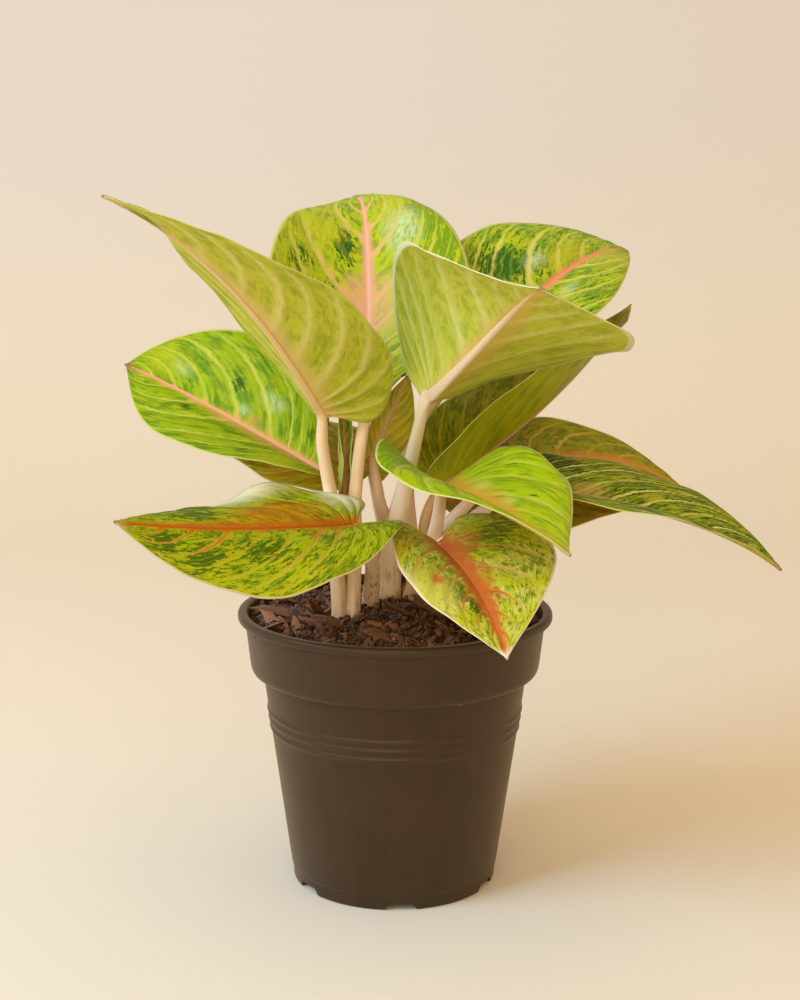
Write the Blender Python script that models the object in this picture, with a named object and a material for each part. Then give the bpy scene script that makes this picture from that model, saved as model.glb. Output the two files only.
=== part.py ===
# Potted chinese evergreen: a clump of broad, pointed, variegated leaves on pale stalks,
# standing in potting mix in a tapered plastic nursery pot.
# Metres, +Z up, origin at the centre of the pot's base. The sizes below are in millimetres
# and degrees, and each mesh is scaled by MM as it is made.
import bpy
import bmesh
import numpy as np
from math import cos, hypot, pi, radians, sin
from mathutils import Matrix, Vector

MM = 0.001
GAP = 0.3                 # clearance between pieces that touch
MERGE = 0.00001           # merge distance, in metres
REACH = 4.0               # how far a cutter runs past what it cuts

# pot
POT_HEIGHT = 146.0
POT_SEGMENTS = 48
LIP_RADIUS = 82.5
LIP_DEPTH = 4.4           # height of the rolled lip
LIP_ROLL = ((0.0, -2.8), (-0.4, -0.9), (-1.9, 0.0), (-3.6, -0.3), (-4.8, -1.9))
COLLAR_TOP_RADIUS = 78.8
COLLAR_FOOT_RADIUS = 75.6
COLLAR_FOOT = 113.4       # height of the collar's lower edge
BODY_TOP_RADIUS = 69.6
BODY_FOOT_RADIUS = 54.6
WALL = 1.5
EDGE = 0.9                # softened corners
RIBS = (83.8, 88.6, 93.4)
RIB_HEIGHT = 2.2
RIB_RELIEF = 0.7
FOOT_RADIUS = 53.9
FOOT_HEIGHT = 5.0
FOOT_RING_INNER = 48.0
FLOOR_UNDERSIDE = 4.6
FLOOR_TOP = 6.4
PAD_RADIUS = 14.0         # flat pad in the middle of the base, level with the foot ring
DRAFT = 0.8
NOTCHES = 6
NOTCH_TURN = -86.0        # direction of the first notch
NOTCH_TOP_WIDTH = 12.4
NOTCH_FOOT_WIDTH = 18.4
NOTCH_HEIGHT = 3.8
DRAIN_HOLES = 6
DRAIN_RADIUS = 4.5
DRAIN_CIRCLE = 32.0
DRAIN_SIDES = 12

# potting mix
SOIL_EDGE = 139.5
SOIL_RINGS = (72.0, 63.0, 54.0, 45.0, 36.0, 27.0, 18.0, 9.0)
MOUND_HEIGHT = 7.5
MOUND_SPREAD = 42.0
LUMP_HEIGHT = 0.9
LUMP_SPAN = 50.0
LUMP_FADE = 12.0          # the lumps fade out over this width at the wall
CHIP_COUNT = 14
CHIP_SEED = 7
CHIP_FIELD = 64.0
CHIP_LENGTH = (9.0, 17.0)
CHIP_WIDTH = (5.0, 8.0)
CHIP_THICKNESS = (2.2, 3.6)
CHIP_TILT = 20.0
CHIP_TAPER = (0.75, 1.05)
CHIP_CLEAR = 1.5

# stalks
FOOT_DEPTH = 28.0         # how deep a shoot's foot stands in the mix
FOOT_RISE = 0.8           # how far the foot stands out of the mix
FOOT_SIDES = 16
UPRIGHT = 149.0           # a stalk stands upright to this height
STALK_SIDES = 8
STALK_STEPS = 9
STALK_FOOT_RADIUS = 4.8
STALK_TOP_RADIUS = 2.9
STALK_TAPER = 0.7
STALK_CAP = (35.0, 68.0)  # rings of the rounded end

# leaf blades
BLADE = 0.9               # thickness
KEEL = 2.2                # extra depth of the midrib under the blade, at its base
LEAF_ROWS = 14
LEAF_COLUMNS = 4
SPINE_STEPS = 48
WIDEST = 0.37             # where the blade is widest, along its length
LOBE_SPREAD = 0.27
BASE_FULLNESS = 0.9
TIP_HOLLOW = 1.9
TIP_DRAW = 1.12
VEIN_SLANT = 0.5          # how far the side veins lean towards the tip
VEIN_SPACING = 0.012      # smallest distance between veins, along the length
VEIN_BOW = (0.35, 0.62)
LIFT_REACH = 25.0
WAVE = 1.0                # height of the slow waves along a margin
WAVES = 3.0
WAVE_TURN = 1.7

# Each leaf starts at the end of its stalk, "at". Heading is its compass direction (0 = +X,
# 90 = +Y) and pitch its slope there; turn and bend are how much both change up to the tip.
# Left and right are as seen from above, looking from the stalk to the tip. Fold lifts a half
# from the midrib, at the base and at the tip. Curl bends it on towards its margin, at the
# base, the middle and the tip. Lobes are the lengths of the two lobes behind the stalk, and
# lift raises them. "foot" is where the stalk leaves the mix and "by" what it passes on the way.
USUAL = dict(turn=0, bend=-40, ease=1.6, roll=0, twist=0, length=150, left=48, right=48,
             fold_left=(15, 10), fold_right=(15, 10), curl_left=(-15, -20, -15),
             curl_right=(-15, -20, -15), lobes=(22, 22), lift=(0, 0))

LEAVES = {
    "upper_left": dict(
        at=(-37, -22, 249), heading=238, turn=-15, pitch=49, bend=-28, roll=5, twist=5,
        length=180, left=53, right=50, fold_left=(38, 10), fold_right=(32, 13),
        curl_left=(-5, -13, -10), curl_right=(-9, -19, -12), foot=(-29, -14),
        by=((-31, -16, 185), (-33, -17, 208), (-37, -20, 233))),
    "top": dict(
        at=(-15, 2, 253), heading=88, turn=10, pitch=67, bend=-63, roll=12, length=163,
        left=58, right=55, fold_left=(28, 8), fold_right=(13, 6), curl_left=(-16, 38, -15),
        curl_right=(-10, -10, -16), lobes=(4, -14), foot=(-22, -13),
        by=((-21, -10, 185), (-21, -9, 205), (-18, -6, 235))),
    "upper_front": dict(
        at=(14, -28, 256), heading=-60, turn=-28, pitch=32, bend=-26, ease=1.7, roll=15,
        length=181, left=71, right=60, fold_left=(36, -6), fold_right=(78, -4),
        curl_left=(-20, -15, -4), curl_right=(-32, -7, 0), lobes=(15, 12), foot=(-4, 15),
        by=((-2, 12, 180), (1, 7, 194), (4, 1, 208), (8, -11, 227))),
    "top_right": dict(
        at=(34, 8, 273), heading=37, turn=24, pitch=34, bend=-44, ease=2.0, roll=-27,
        twist=4, length=167, left=53, right=36, fold_left=(24, 8), fold_right=(18, 9),
        curl_left=(-14, -12, -25), curl_right=(-15, -19, -24), lobes=(22, 6), foot=(10, 29),
        by=((8, 27, 180), (6, 27, 205), (7, 26, 228), (14, 22, 244))),
    "middle_left": dict(
        at=(-36, -3, 217), heading=153, turn=-21, pitch=23, bend=-14, roll=29, twist=20,
        length=156, left=40, right=52, fold_left=(42, 11), fold_right=(23, 34),
        curl_left=(-9, -9, -16), curl_right=(-15, -20, -8), lobes=(2, -14), foot=(-29, -10),
        by=((-31, -8, 185), (-33, -6, 203))),
    "low_left": dict(
        at=(-19, -45, 199), heading=218, turn=-3, pitch=4, bend=8, roll=-3, length=134,
        left=48, right=39, fold_left=(9, -60), fold_right=(45, 18), curl_left=(-18, -24, -28),
        curl_right=(-43, -46, -33), lobes=(19, 22), lift=(20, 0), foot=(-13, 3),
        by=((-12, -3, 165), (-13, -18, 181))),
    "low_front": dict(
        at=(21, -42, 189), heading=-68, turn=-10, pitch=-9, bend=-23, roll=-2, twist=-9,
        length=106, left=44, right=35, fold_left=(24, 24), fold_right=(33, 16),
        curl_left=(-8, -17, -19), curl_right=(-8, -24, -16), foot=(9, 6),
        by=((12, -2, 162), (17, -18, 175))),
    "middle_front": dict(
        at=(23, -32, 215), heading=-79, turn=31, pitch=6, bend=-28, roll=8, twist=10,
        length=125, left=48, right=47, fold_left=(36, 12), fold_right=(26, 19),
        curl_left=(18, -9, -18), curl_right=(18, -39, -17), lobes=(23, 30),
        lift=(-10, -23), foot=(9, 9), by=((15, 3, 168), (20, -7, 186), (22, -20, 200))),
    "right_back": dict(
        at=(57, 16, 221), heading=34, turn=2, pitch=2, bend=-39, ease=1.5, roll=-18,
        twist=-3, length=144, left=50, right=34, fold_left=(-15, 13), fold_right=(-6, 0),
        curl_left=(-10, 6, -17), lobes=(0, 16), foot=(11, 10), by=((18, 7, 178), (36, 6, 199))),
    "far_right": dict(
        at=(61, -12, 212), heading=-14, turn=13, pitch=-4, bend=-33, ease=1.8, roll=-5,
        length=143, left=50, right=50, fold_left=(18, 20), fold_right=(18, 18),
        curl_left=(-7, -23, -14), curl_right=(-14, -10, -17), foot=(12, 8),
        by=((16, 1, 166), (22, -9, 181), (42, -11, 198))),
    "centre_right": dict(
        at=(24, 10, 209), heading=34, turn=16, pitch=26, bend=13, roll=14, twist=-4,
        length=173, left=39, right=51, fold_left=(54, 12), fold_right=(42, 20),
        curl_left=(-4, -11, -16), curl_right=(-14, 12, -17), lobes=(8, 22), foot=(15, 25),
        by=((15, 16, 178), (17, 11, 195))),
    "centre": dict(
        at=(-12, 11, 223), heading=-26, pitch=68, bend=-6, roll=63, length=51, left=14,
        right=8, fold_left=(16, 6), fold_right=(6, 4), curl_left=(-10, -15, -10),
        curl_right=(-10, -15, -10), lobes=(18, 3), foot=(-7, 17),
        by=((-6, 9, 188), (-9, 5, 204))),
    "new": dict(
        at=(-27, 6, 204), heading=100, pitch=88, bend=0, length=50, left=12, right=12,
        fold_left=(30, 30), fold_right=(30, 30), curl_left=(100, 100, 90),
        curl_right=(100, 100, 90), lobes=(1, 1), foot=(-25, -11),
        by=((-26, -1, 176), (-27, 8, 192))),
    "left_back": dict(
        at=(-13, 31, 214), heading=165, pitch=20, bend=-25, roll=12, length=110, left=27,
        right=36, fold_left=(-26, -34), lobes=(0, 16), foot=(-5, 18),
        by=((-6, 25, 178), (-9, 31, 194))),
    "right_low": dict(
        at=(23, 34, 197), heading=12, pitch=4, bend=-20, roll=-5, length=118, left=36,
        right=27, fold_right=(-35, -25), curl_right=(-10, -15, -15), lobes=(4, -4),
        foot=(14, 29), by=((18, 35, 178),)),
}

# Each shoot: where its foot stands in the mix, the foot's radius and the leaves it carries.
SHOOTS = {
    "crown_left": dict(at=(-26, -12), radius=9.2,
                       leaves=("upper_left", "top", "new", "middle_left")),
    "crown_front": dict(at=(-13, 3), radius=5.8, leaves=("low_left",)),
    "crown_centre": dict(at=(-5, 17), radius=7.2, leaves=("upper_front", "centre", "left_back")),
    "crown_right": dict(at=(10, 8), radius=7.8,
                        leaves=("low_front", "far_right", "middle_front", "right_back")),
    "crown_back": dict(at=(13, 27), radius=9.2,
                       leaves=("centre_right", "right_low", "top_right")),
}


def make_material(name, colour, roughness, metallic=0.0):
    material = bpy.data.materials.new(name)
    material.use_nodes = True
    shader = material.node_tree.nodes["Principled BSDF"]
    shader.inputs["Base Color"].default_value = (*colour, 1.0)
    shader.inputs["Roughness"].default_value = roughness
    shader.inputs["Metallic"].default_value = metallic
    return material


def add_object(name, mesh, material):
    mesh.materials.append(material)
    thing = bpy.data.objects.new(name, mesh)
    bpy.context.scene.collection.objects.link(thing)
    form = bmesh.new()
    form.from_mesh(mesh)
    tidy(form, mesh)
    return thing


def tidy(form, mesh):
    # merged, closed, facing outwards, and all triangles
    bmesh.ops.remove_doubles(form, verts=form.verts, dist=MERGE)
    bmesh.ops.recalc_face_normals(form, faces=form.faces)
    bmesh.ops.triangulate(form, faces=form.faces)
    form.to_mesh(mesh)
    form.free()


def solid(name, points, faces, material):
    mesh = bpy.data.meshes.new(name)
    mesh.from_pydata([Vector(p) * MM for p in points], [], faces)
    return add_object(name, mesh, material)


def turned(name, profile, segments, material):
    # a profile of (radius, height) points that starts and ends on the Z axis, spun round it
    form = bmesh.new()
    verts = [form.verts.new((r * MM, 0, z * MM)) for r, z in profile]
    edges = [form.edges.new(pair) for pair in zip(verts, verts[1:])]
    bmesh.ops.spin(form, geom=verts + edges, cent=(0, 0, 0), axis=(0, 0, 1), dvec=(0, 0, 0),
                   angle=2 * pi, steps=segments, use_merge=True)
    mesh = bpy.data.meshes.new(name)
    form.to_mesh(mesh)
    form.free()
    return add_object(name, mesh, material)


def tube(name, rings, material):
    # closed solid through rings of points, with flat ends
    n = len(rings[0])
    points = [point for ring in rings for point in ring]
    faces = [tuple(reversed(range(n))), tuple(range(len(points) - n, len(points)))]
    for i in range(len(rings) - 1):
        for k in range(n):
            after = (k + 1) % n
            faces.append((i * n + k, i * n + after, (i + 1) * n + after, (i + 1) * n + k))
    return solid(name, points, faces, material)


def cylinder(name, x, y, radius, low, high, sides, material):
    turns = [2 * pi * k / sides for k in range(sides)]
    rings = [[(x + radius * cos(a), y + radius * sin(a), z) for a in turns] for z in (low, high)]
    return tube(name, rings, material)


def combine(thing, others, operation):
    # one Boolean on a collection, applied, with the collection's objects then removed
    group = bpy.data.collections.new(thing.name + "_" + operation.lower())
    bpy.context.scene.collection.children.link(group)
    for other in others:
        bpy.context.scene.collection.objects.unlink(other)
        group.objects.link(other)
        other.hide_render = True
        other.display_type = "WIRE"
    boolean = thing.modifiers.new("Boolean", "BOOLEAN")
    boolean.operand_type = "COLLECTION"
    boolean.collection = group
    boolean.operation = operation
    boolean.solver = "EXACT"
    bpy.context.view_layer.objects.active = thing
    bpy.ops.object.modifier_apply(modifier=boolean.name)
    for other in others:
        bpy.data.objects.remove(other)
    bpy.data.collections.remove(group)
    form = bmesh.new()
    form.from_mesh(thing.data)
    tidy(form, thing.data)


def smooth(thing, angle):
    thing.data.shade_smooth()
    thing.data.set_sharp_from_angle(angle=radians(angle))


def wall_radius(z):
    # outside of the plain tapered wall
    part = (z - FOOT_HEIGHT) / (COLLAR_FOOT - FOOT_HEIGHT)
    return BODY_FOOT_RADIUS + part * (BODY_TOP_RADIUS - BODY_FOOT_RADIUS)


def collar_radius(z):
    part = (z - COLLAR_FOOT) / (POT_HEIGHT - LIP_DEPTH - COLLAR_FOOT)
    return COLLAR_FOOT_RADIUS + part * (COLLAR_TOP_RADIUS - COLLAR_FOOT_RADIUS)


def inner_wall(top, gap):
    # inside of the pot from the height top down to the middle of its floor, moved in by gap
    step = COLLAR_FOOT + WALL
    inset = WALL + gap
    return [(collar_radius(top) - inset, top),
            (collar_radius(step) - inset, step + gap),
            (wall_radius(COLLAR_FOOT) - inset, step + gap),
            (wall_radius(FLOOR_TOP) - inset, FLOOR_TOP + gap),
            (0, FLOOR_TOP + gap)]


def pot_profile():
    lip_foot = POT_HEIGHT - LIP_DEPTH
    base = [(0, 0), (PAD_RADIUS, 0), (PAD_RADIUS + DRAFT, FLOOR_UNDERSIDE),
            (FOOT_RING_INNER - DRAFT, FLOOR_UNDERSIDE), (FOOT_RING_INNER, 0),
            (FOOT_RADIUS - EDGE, 0), (FOOT_RADIUS, EDGE), (FOOT_RADIUS, FOOT_HEIGHT - EDGE),
            (BODY_FOOT_RADIUS, FOOT_HEIGHT)]
    ribs = []
    for z in RIBS:
        low, high = z - RIB_HEIGHT / 2, z + RIB_HEIGHT / 2
        ribs += [(wall_radius(low), low), (wall_radius(z) + RIB_RELIEF, z),
                 (wall_radius(high), high)]
    collar = [(BODY_TOP_RADIUS, COLLAR_FOOT), (COLLAR_FOOT_RADIUS - EDGE, COLLAR_FOOT),
              (COLLAR_FOOT_RADIUS, COLLAR_FOOT + EDGE), (COLLAR_TOP_RADIUS, lip_foot),
              (LIP_RADIUS - EDGE, lip_foot), (LIP_RADIUS, lip_foot + EDGE)]
    lip = [(LIP_RADIUS + out, POT_HEIGHT + up) for out, up in LIP_ROLL]
    return base + ribs + collar + lip + inner_wall(lip_foot, 0)


def notch_cutter(number, material):
    turn = Matrix.Rotation(radians(NOTCH_TURN) + 2 * pi * number / NOTCHES, 3, "Z")
    rings = []
    for r in (FOOT_RING_INNER - REACH, FOOT_RADIUS + REACH):
        rings.append([turn @ Vector(corner) for corner in (
            (r, -NOTCH_FOOT_WIDTH / 2, -EDGE), (r, NOTCH_FOOT_WIDTH / 2, -EDGE),
            (r, NOTCH_TOP_WIDTH / 2, NOTCH_HEIGHT), (r, -NOTCH_TOP_WIDTH / 2, NOTCH_HEIGHT))])
    return tube("notch", rings, material)


def drain_cutter(number, material):
    turn = 2 * pi * (number + 0.5) / DRAIN_HOLES
    return cylinder("drain", DRAIN_CIRCLE * cos(turn), DRAIN_CIRCLE * sin(turn), DRAIN_RADIUS,
                    FLOOR_UNDERSIDE - REACH, FLOOR_TOP + REACH, DRAIN_SIDES, material)


def make_pot(material):
    pot = turned("pot", pot_profile(), POT_SEGMENTS, material)
    cutters = [notch_cutter(k, material) for k in range(NOTCHES)]
    cutters += [drain_cutter(k, material) for k in range(DRAIN_HOLES)]
    combine(pot, cutters, "DIFFERENCE")
    smooth(pot, 35)


def soil_height(x, y):
    # a low mound round the shoots, with slow lumps
    r = hypot(x, y)
    u, v = 2 * pi * x / LUMP_SPAN, 2 * pi * y / LUMP_SPAN
    lumps = LUMP_HEIGHT * (sin(u + 1) * sin(0.9 * v) + sin(2.3 * u - 2.1 * v) / 2)
    fade = min(1, max(0, (SOIL_RINGS[0] - r) / LUMP_FADE))
    return SOIL_EDGE + MOUND_HEIGHT * np.exp(-(r / MOUND_SPREAD) ** 2) + lumps * fade


def make_soil(material):
    turns = [2 * pi * k / POT_SEGMENTS for k in range(POT_SEGMENTS)]
    rings = []
    for r, z in reversed(inner_wall(SOIL_EDGE, GAP)[:-1]):
        rings.append([(r * cos(a), r * sin(a), z) for a in turns])
    for r in SOIL_RINGS:
        spots = [(r * cos(a), r * sin(a)) for a in turns]
        rings.append([(x, y, soil_height(x, y)) for x, y in spots])
    soil = tube("soil", rings, material)
    combine(soil, bark_chips(material), "UNION")
    holes = []
    for shoot in SHOOTS.values():
        radius = shoot["radius"] + 1.1 * GAP
        holes.append(cylinder("hole", *shoot["at"], radius, SOIL_EDGE - FOOT_DEPTH, UPRIGHT + REACH,
                              FOOT_SIDES, material))
    combine(soil, holes, "DIFFERENCE")


def chip_fits(x, y, reach, spots):
    if hypot(x, y) + reach > SOIL_RINGS[0]:
        return False
    if any(hypot(x - u, y - v) < reach + other for u, v, other in spots):
        return False
    return all(hypot(x - shoot["at"][0], y - shoot["at"][1]) > shoot["radius"] + reach + CHIP_CLEAR
               for shoot in SHOOTS.values())


def bark_chips(material):
    # flat wedges of bark, half sunk in the mix, clear of the shoots and the wall
    rng = np.random.default_rng(CHIP_SEED)
    chips = []
    spots = []
    while len(chips) < CHIP_COUNT:
        r = CHIP_FIELD * rng.random() ** 0.5
        turn = rng.uniform(0, 2 * pi)
        x, y = r * cos(turn), r * sin(turn)
        size = [rng.uniform(*limits) for limits in (CHIP_LENGTH, CHIP_WIDTH, CHIP_THICKNESS)]
        reach = size[0] / 2 + CHIP_CLEAR
        if not chip_fits(x, y, reach, spots):
            continue
        spots.append((x, y, reach))
        tilt = radians(CHIP_TILT)
        pose = (Matrix.Rotation(rng.uniform(0, 2 * pi), 3, "Z")
                @ Matrix.Rotation(rng.uniform(-tilt, tilt), 3, "X")
                @ Matrix.Rotation(rng.uniform(-tilt, tilt), 3, "Y"))
        middle = Vector((x, y, soil_height(x, y)))
        rings = []
        for end in (-0.5, 0.5):
            ring = []
            for side, face in ((-0.5, -0.5), (0.5, -0.5), (0.5, 0.5), (-0.5, 0.5)):
                corner = Vector((end * size[0], side * size[1], face * size[2]))
                ring.append(middle + pose @ corner * rng.uniform(*CHIP_TAPER))
            rings.append(ring)
        chips.append(tube("chip", rings, material))
    return chips


def leaf_values(name):
    return {**USUAL, **LEAVES[name]}


def leaf_frame(leaf, t):
    # the directions along the midrib, to the right and up out of the blade, at t from 0 to 1
    heading = radians(leaf["heading"] + leaf["turn"] * t)
    pitch = radians(leaf["pitch"] + leaf["bend"] * t ** leaf["ease"])
    roll = radians(leaf["roll"] + leaf["twist"] * t)
    along = Vector((cos(pitch) * cos(heading), cos(pitch) * sin(heading), sin(pitch)))
    level = Vector((sin(heading), -cos(heading), 0))
    up = level.cross(along)
    return along, level * cos(roll) + up * sin(roll), up * cos(roll) - level * sin(roll)


def spine_of(leaf):
    point = Vector(leaf["at"])
    spine = [point]
    for k in range(SPINE_STEPS):
        along = leaf_frame(leaf, (k + 0.5) / SPINE_STEPS)[0]
        point = point + along * leaf["length"] / SPINE_STEPS
        spine.append(point)
    return spine


def margin_point(length, half, lobe, turn):
    # flat outline of one half: round lobe behind the stalk, long drawn-out tip
    widest = WIDEST * length
    s = -cos(turn)
    if turn <= pi / 2:
        notch = lobe * np.exp(-(turn / LOBE_SPREAD) ** 2)
        return widest + (widest + lobe) * s + notch, half * sin(turn) ** BASE_FULLNESS
    return widest + (length - widest) * s, half * (1 - s ** TIP_HOLLOW) ** TIP_DRAW


def on_blade(leaf, spine, side, place, out, wave_turn):
    # carries a flat point of one half onto the bent, folded and curled blade
    index = 0 if side < 0 else 1
    half = (leaf["left"], leaf["right"])[index]
    t = min(1, max(0, place / leaf["length"]))
    along, right, up = leaf_frame(leaf, t)
    low = min(int(t * SPINE_STEPS), SPINE_STEPS - 1)
    point = spine[low].lerp(spine[low + 1], t * SPINE_STEPS - low)
    back = max(0, -place)
    lift = radians(leaf["lift"][index]) * min(1.2, back / LIFT_REACH)
    point = point - along * (back * cos(lift)) + up * (back * sin(lift))
    base_fold, tip_fold = (leaf["fold_left"], leaf["fold_right"])[index]
    fold = radians(base_fold * (1 - t) + tip_fold * t)
    base_curl, middle_curl, tip_curl = (leaf["curl_left"], leaf["curl_right"])[index]
    curl = radians(base_curl * (1 - t) * (1 - 2 * t) + middle_curl * 4 * t * (1 - t)
                   + tip_curl * t * (2 * t - 1))
    if abs(curl) < radians(0.01):
        curl = radians(0.01)
    w = out / half
    sideways = half / curl * (sin(fold + curl * w) - sin(fold))
    rise = half / curl * (cos(fold) - cos(fold + curl * w))
    rise += WAVE * w * w * sin(2 * pi * WAVES * t + wave_turn)
    return point + right * (side * sideways) + up * rise


def blade_rows(leaf, side, wave_turn):
    # rows of points that follow the side veins, from the midrib out to the margin
    spine = spine_of(leaf)
    length = leaf["length"]
    index = 0 if side < 0 else 1
    half, lobe = (leaf["left"], leaf["right"])[index], leaf["lobes"][index]
    ends = [(0, 0)]
    ends += [margin_point(length, half, lobe, pi * row / LEAF_ROWS) for row in range(1, LEAF_ROWS)]
    ends.append((length, 0))
    starts = [max(a - VEIN_SLANT * b, VEIN_SPACING * length * row)
              for row, (a, b) in enumerate(ends)]
    for row in range(LEAF_ROWS - 1, 0, -1):
        starts[row] = min(starts[row], starts[row + 1])
    rows = []
    for start, (a, b) in zip(starts, ends):
        bow, out = start + VEIN_BOW[0] * (a - start), VEIN_BOW[1] * b
        row = []
        for k in range(LEAF_COLUMNS + 1):
            u = k / LEAF_COLUMNS
            row.append(on_blade(leaf, spine, side,
                                (1 - u) ** 2 * start + 2 * u * (1 - u) * bow + u * u * a,
                                2 * u * (1 - u) * out + u * u * b, wave_turn))
        rows.append(row)
    return rows


def blade_sheet(leaf, number):
    # both halves as one sheet of triangles; the first LEAF_ROWS + 1 points are the midrib
    halves = {side: blade_rows(leaf, side, WAVE_TURN * number + side) for side in (-1, 1)}
    points = [row[0] for row in halves[1]]
    triangles = []
    for side, rows in halves.items():
        grid = [[0] * (LEAF_COLUMNS + 1)]
        for start, row in enumerate(rows[1:-1], start=1):
            grid.append([start] + list(range(len(points), len(points) + LEAF_COLUMNS)))
            points += row[1:]
        grid.append([LEAF_ROWS] * (LEAF_COLUMNS + 1))
        for near, far in zip(grid, grid[1:]):
            for k in range(LEAF_COLUMNS):
                for corners in ((near[k], near[k + 1], far[k + 1]), (near[k], far[k + 1], far[k])):
                    if len(set(corners)) == 3:
                        triangles.append(corners[::side])
    return points, triangles


def make_blade(name, number, material):
    # the sheet given a thickness, with a keel under the midrib that fades towards the tip
    points, triangles = blade_sheet(leaf_values(name), number)
    sheet = bmesh.new()
    verts = [sheet.verts.new(point) for point in points]
    for corners in triangles:
        sheet.faces.new([verts[i] for i in corners])
    sheet.normal_update()
    sheet.verts.index_update()
    normals = [vert.normal.copy() for vert in verts]
    rim = []
    for edge in sheet.edges:
        if edge.is_boundary:
            loop = edge.link_loops[0]
            rim.append((loop.vert.index, loop.link_loop_next.vert.index))
    sheet.free()
    top = [point + normal * (BLADE / 2) for point, normal in zip(points, normals)]
    under = []
    for i, (point, normal) in enumerate(zip(points, normals)):
        keel = KEEL * max(0, 1 - i / LEAF_ROWS)
        under.append(point - normal * (BLADE / 2 + keel))
    n = len(points)
    faces = triangles + [(c + n, b + n, a + n) for a, b, c in triangles]
    for a, b in rim:
        faces += [(b, a, a + n), (b, a + n, b + n)]
    blade = solid("leaf_" + name, top + under, faces, material)
    smooth(blade, 40)


def smooth_path(points, steps):
    # Catmull-Rom curve through the points
    ends = [points[0] * 2 - points[1]] + points + [points[-1] * 2 - points[-2]]
    path = []
    spans = len(points) - 1
    for k in range(steps + 1):
        place = spans * k / steps
        i = min(int(place), spans - 1)
        t = place - i
        a, b, c, d = ends[i:i + 4]
        path.append(0.5 * ((2 * b) + (c - a) * t + (2 * a - 5 * b + 4 * c - d) * t * t
                           + (3 * b - a - 3 * c + d) * t ** 3))
    return path


def stalk_path(leaf):
    # up from the mix, past the leaf's "by" points, to just under the blade's keel
    up = leaf_frame(leaf, 0)[2]
    keel_foot = Vector(leaf["at"]) - up * (BLADE / 2 + KEEL)
    below = (up + Vector((0, 0, 1))).normalized()
    points = [Vector((*leaf["foot"], z)) for z in (SOIL_EDGE, UPRIGHT)]
    points += [Vector(point) for point in leaf["by"]]
    points.append(keel_foot - below * (STALK_TOP_RADIUS + 1.1 * GAP))
    return smooth_path(points, STALK_STEPS)


def make_stalk(name, material):
    # a tapering stalk with a rounded end
    path = stalk_path(leaf_values(name))
    level = Vector((1, 0, 0))
    rings = []
    for k, centre in enumerate(path):
        tangent = (path[min(k + 1, STALK_STEPS)] - path[max(k - 1, 0)]).normalized()
        across = (level - tangent * level.dot(tangent)).normalized()
        other = tangent.cross(across)
        taper = (k / STALK_STEPS) ** STALK_TAPER
        radius = STALK_FOOT_RADIUS + (STALK_TOP_RADIUS - STALK_FOOT_RADIUS) * taper
        turns = [2 * pi * side / STALK_SIDES for side in range(STALK_SIDES)]
        rings.append([centre + (across * cos(a) + other * sin(a)) * radius for a in turns])
    last = rings[-1]
    for turn in STALK_CAP:
        shrink, rise = cos(radians(turn)), STALK_TOP_RADIUS * sin(radians(turn))
        rings.append([centre + (point - centre) * shrink + tangent * rise for point in last])
    return tube("stalk", rings, material)


def make_shoot(name, material):
    shoot = SHOOTS[name]
    x, y = shoot["at"]
    top = soil_height(x, y) + FOOT_RISE
    foot = cylinder(name, x, y, shoot["radius"], SOIL_EDGE - FOOT_DEPTH + GAP, top, FOOT_SIDES,
                    material)
    combine(foot, [make_stalk(leaf, material) for leaf in shoot["leaves"]], "UNION")
    smooth(foot, 50)


def main():
    for thing in list(bpy.data.objects):
        bpy.data.objects.remove(thing)
    plastic = make_material("pot_plastic", (0.055, 0.042, 0.032), 0.55)
    mix = make_material("potting_mix", (0.045, 0.022, 0.012), 0.95)
    stalk = make_material("stalk_pale", (0.78, 0.58, 0.42), 0.45)
    blade = make_material("leaf_green", (0.33, 0.45, 0.03), 0.4)
    make_pot(plastic)
    make_soil(mix)
    for name in SHOOTS:
        make_shoot(name, stalk)
    for number, name in enumerate(LEAVES):
        make_blade(name, number, blade)


main()
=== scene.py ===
import math
import bpy
import numpy as np
from mathutils import Matrix, Vector


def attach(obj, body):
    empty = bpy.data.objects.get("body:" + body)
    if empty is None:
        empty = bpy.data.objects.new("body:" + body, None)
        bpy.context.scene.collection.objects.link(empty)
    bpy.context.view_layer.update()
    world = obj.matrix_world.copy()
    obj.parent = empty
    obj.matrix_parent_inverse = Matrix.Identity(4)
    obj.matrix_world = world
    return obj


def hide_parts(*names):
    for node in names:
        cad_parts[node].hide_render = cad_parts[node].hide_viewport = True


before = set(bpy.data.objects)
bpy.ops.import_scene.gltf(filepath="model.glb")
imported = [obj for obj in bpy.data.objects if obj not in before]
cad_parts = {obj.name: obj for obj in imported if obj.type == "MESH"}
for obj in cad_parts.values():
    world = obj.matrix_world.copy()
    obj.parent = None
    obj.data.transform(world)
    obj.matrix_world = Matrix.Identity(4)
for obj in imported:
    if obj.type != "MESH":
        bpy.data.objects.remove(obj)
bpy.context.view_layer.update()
mm = 0.001
turn = 2 * math.pi


def selectOnly(*pieces):
    # the first of them becomes the active one
    for thing in bpy.context.selected_objects:
        thing.select_set(False)
    for piece in pieces:
        piece.select_set(True)
        bpy.context.view_layer.objects.active = pieces[0]


def editMesh(piece, *steps):
    # runs edit-mode steps on all of a piece
    selectOnly(piece)
    bpy.ops.object.mode_set(mode="EDIT")
    bpy.ops.mesh.select_all(action="SELECT")
    for step in steps:
        step()
    bpy.ops.object.mode_set(mode="OBJECT")


def weld():
    bpy.ops.mesh.remove_doubles(threshold=0.00001)


def faceOut():
    bpy.ops.mesh.normals_make_consistent(inside=False)


def useModifier(piece, kind, **values):
    modifier = piece.modifiers.new(kind.title(), kind)
    for key, value in values.items():
        setattr(modifier, key, value)
    bpy.context.view_layer.objects.active = piece
    bpy.ops.object.modifier_apply(modifier=modifier.name)


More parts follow.
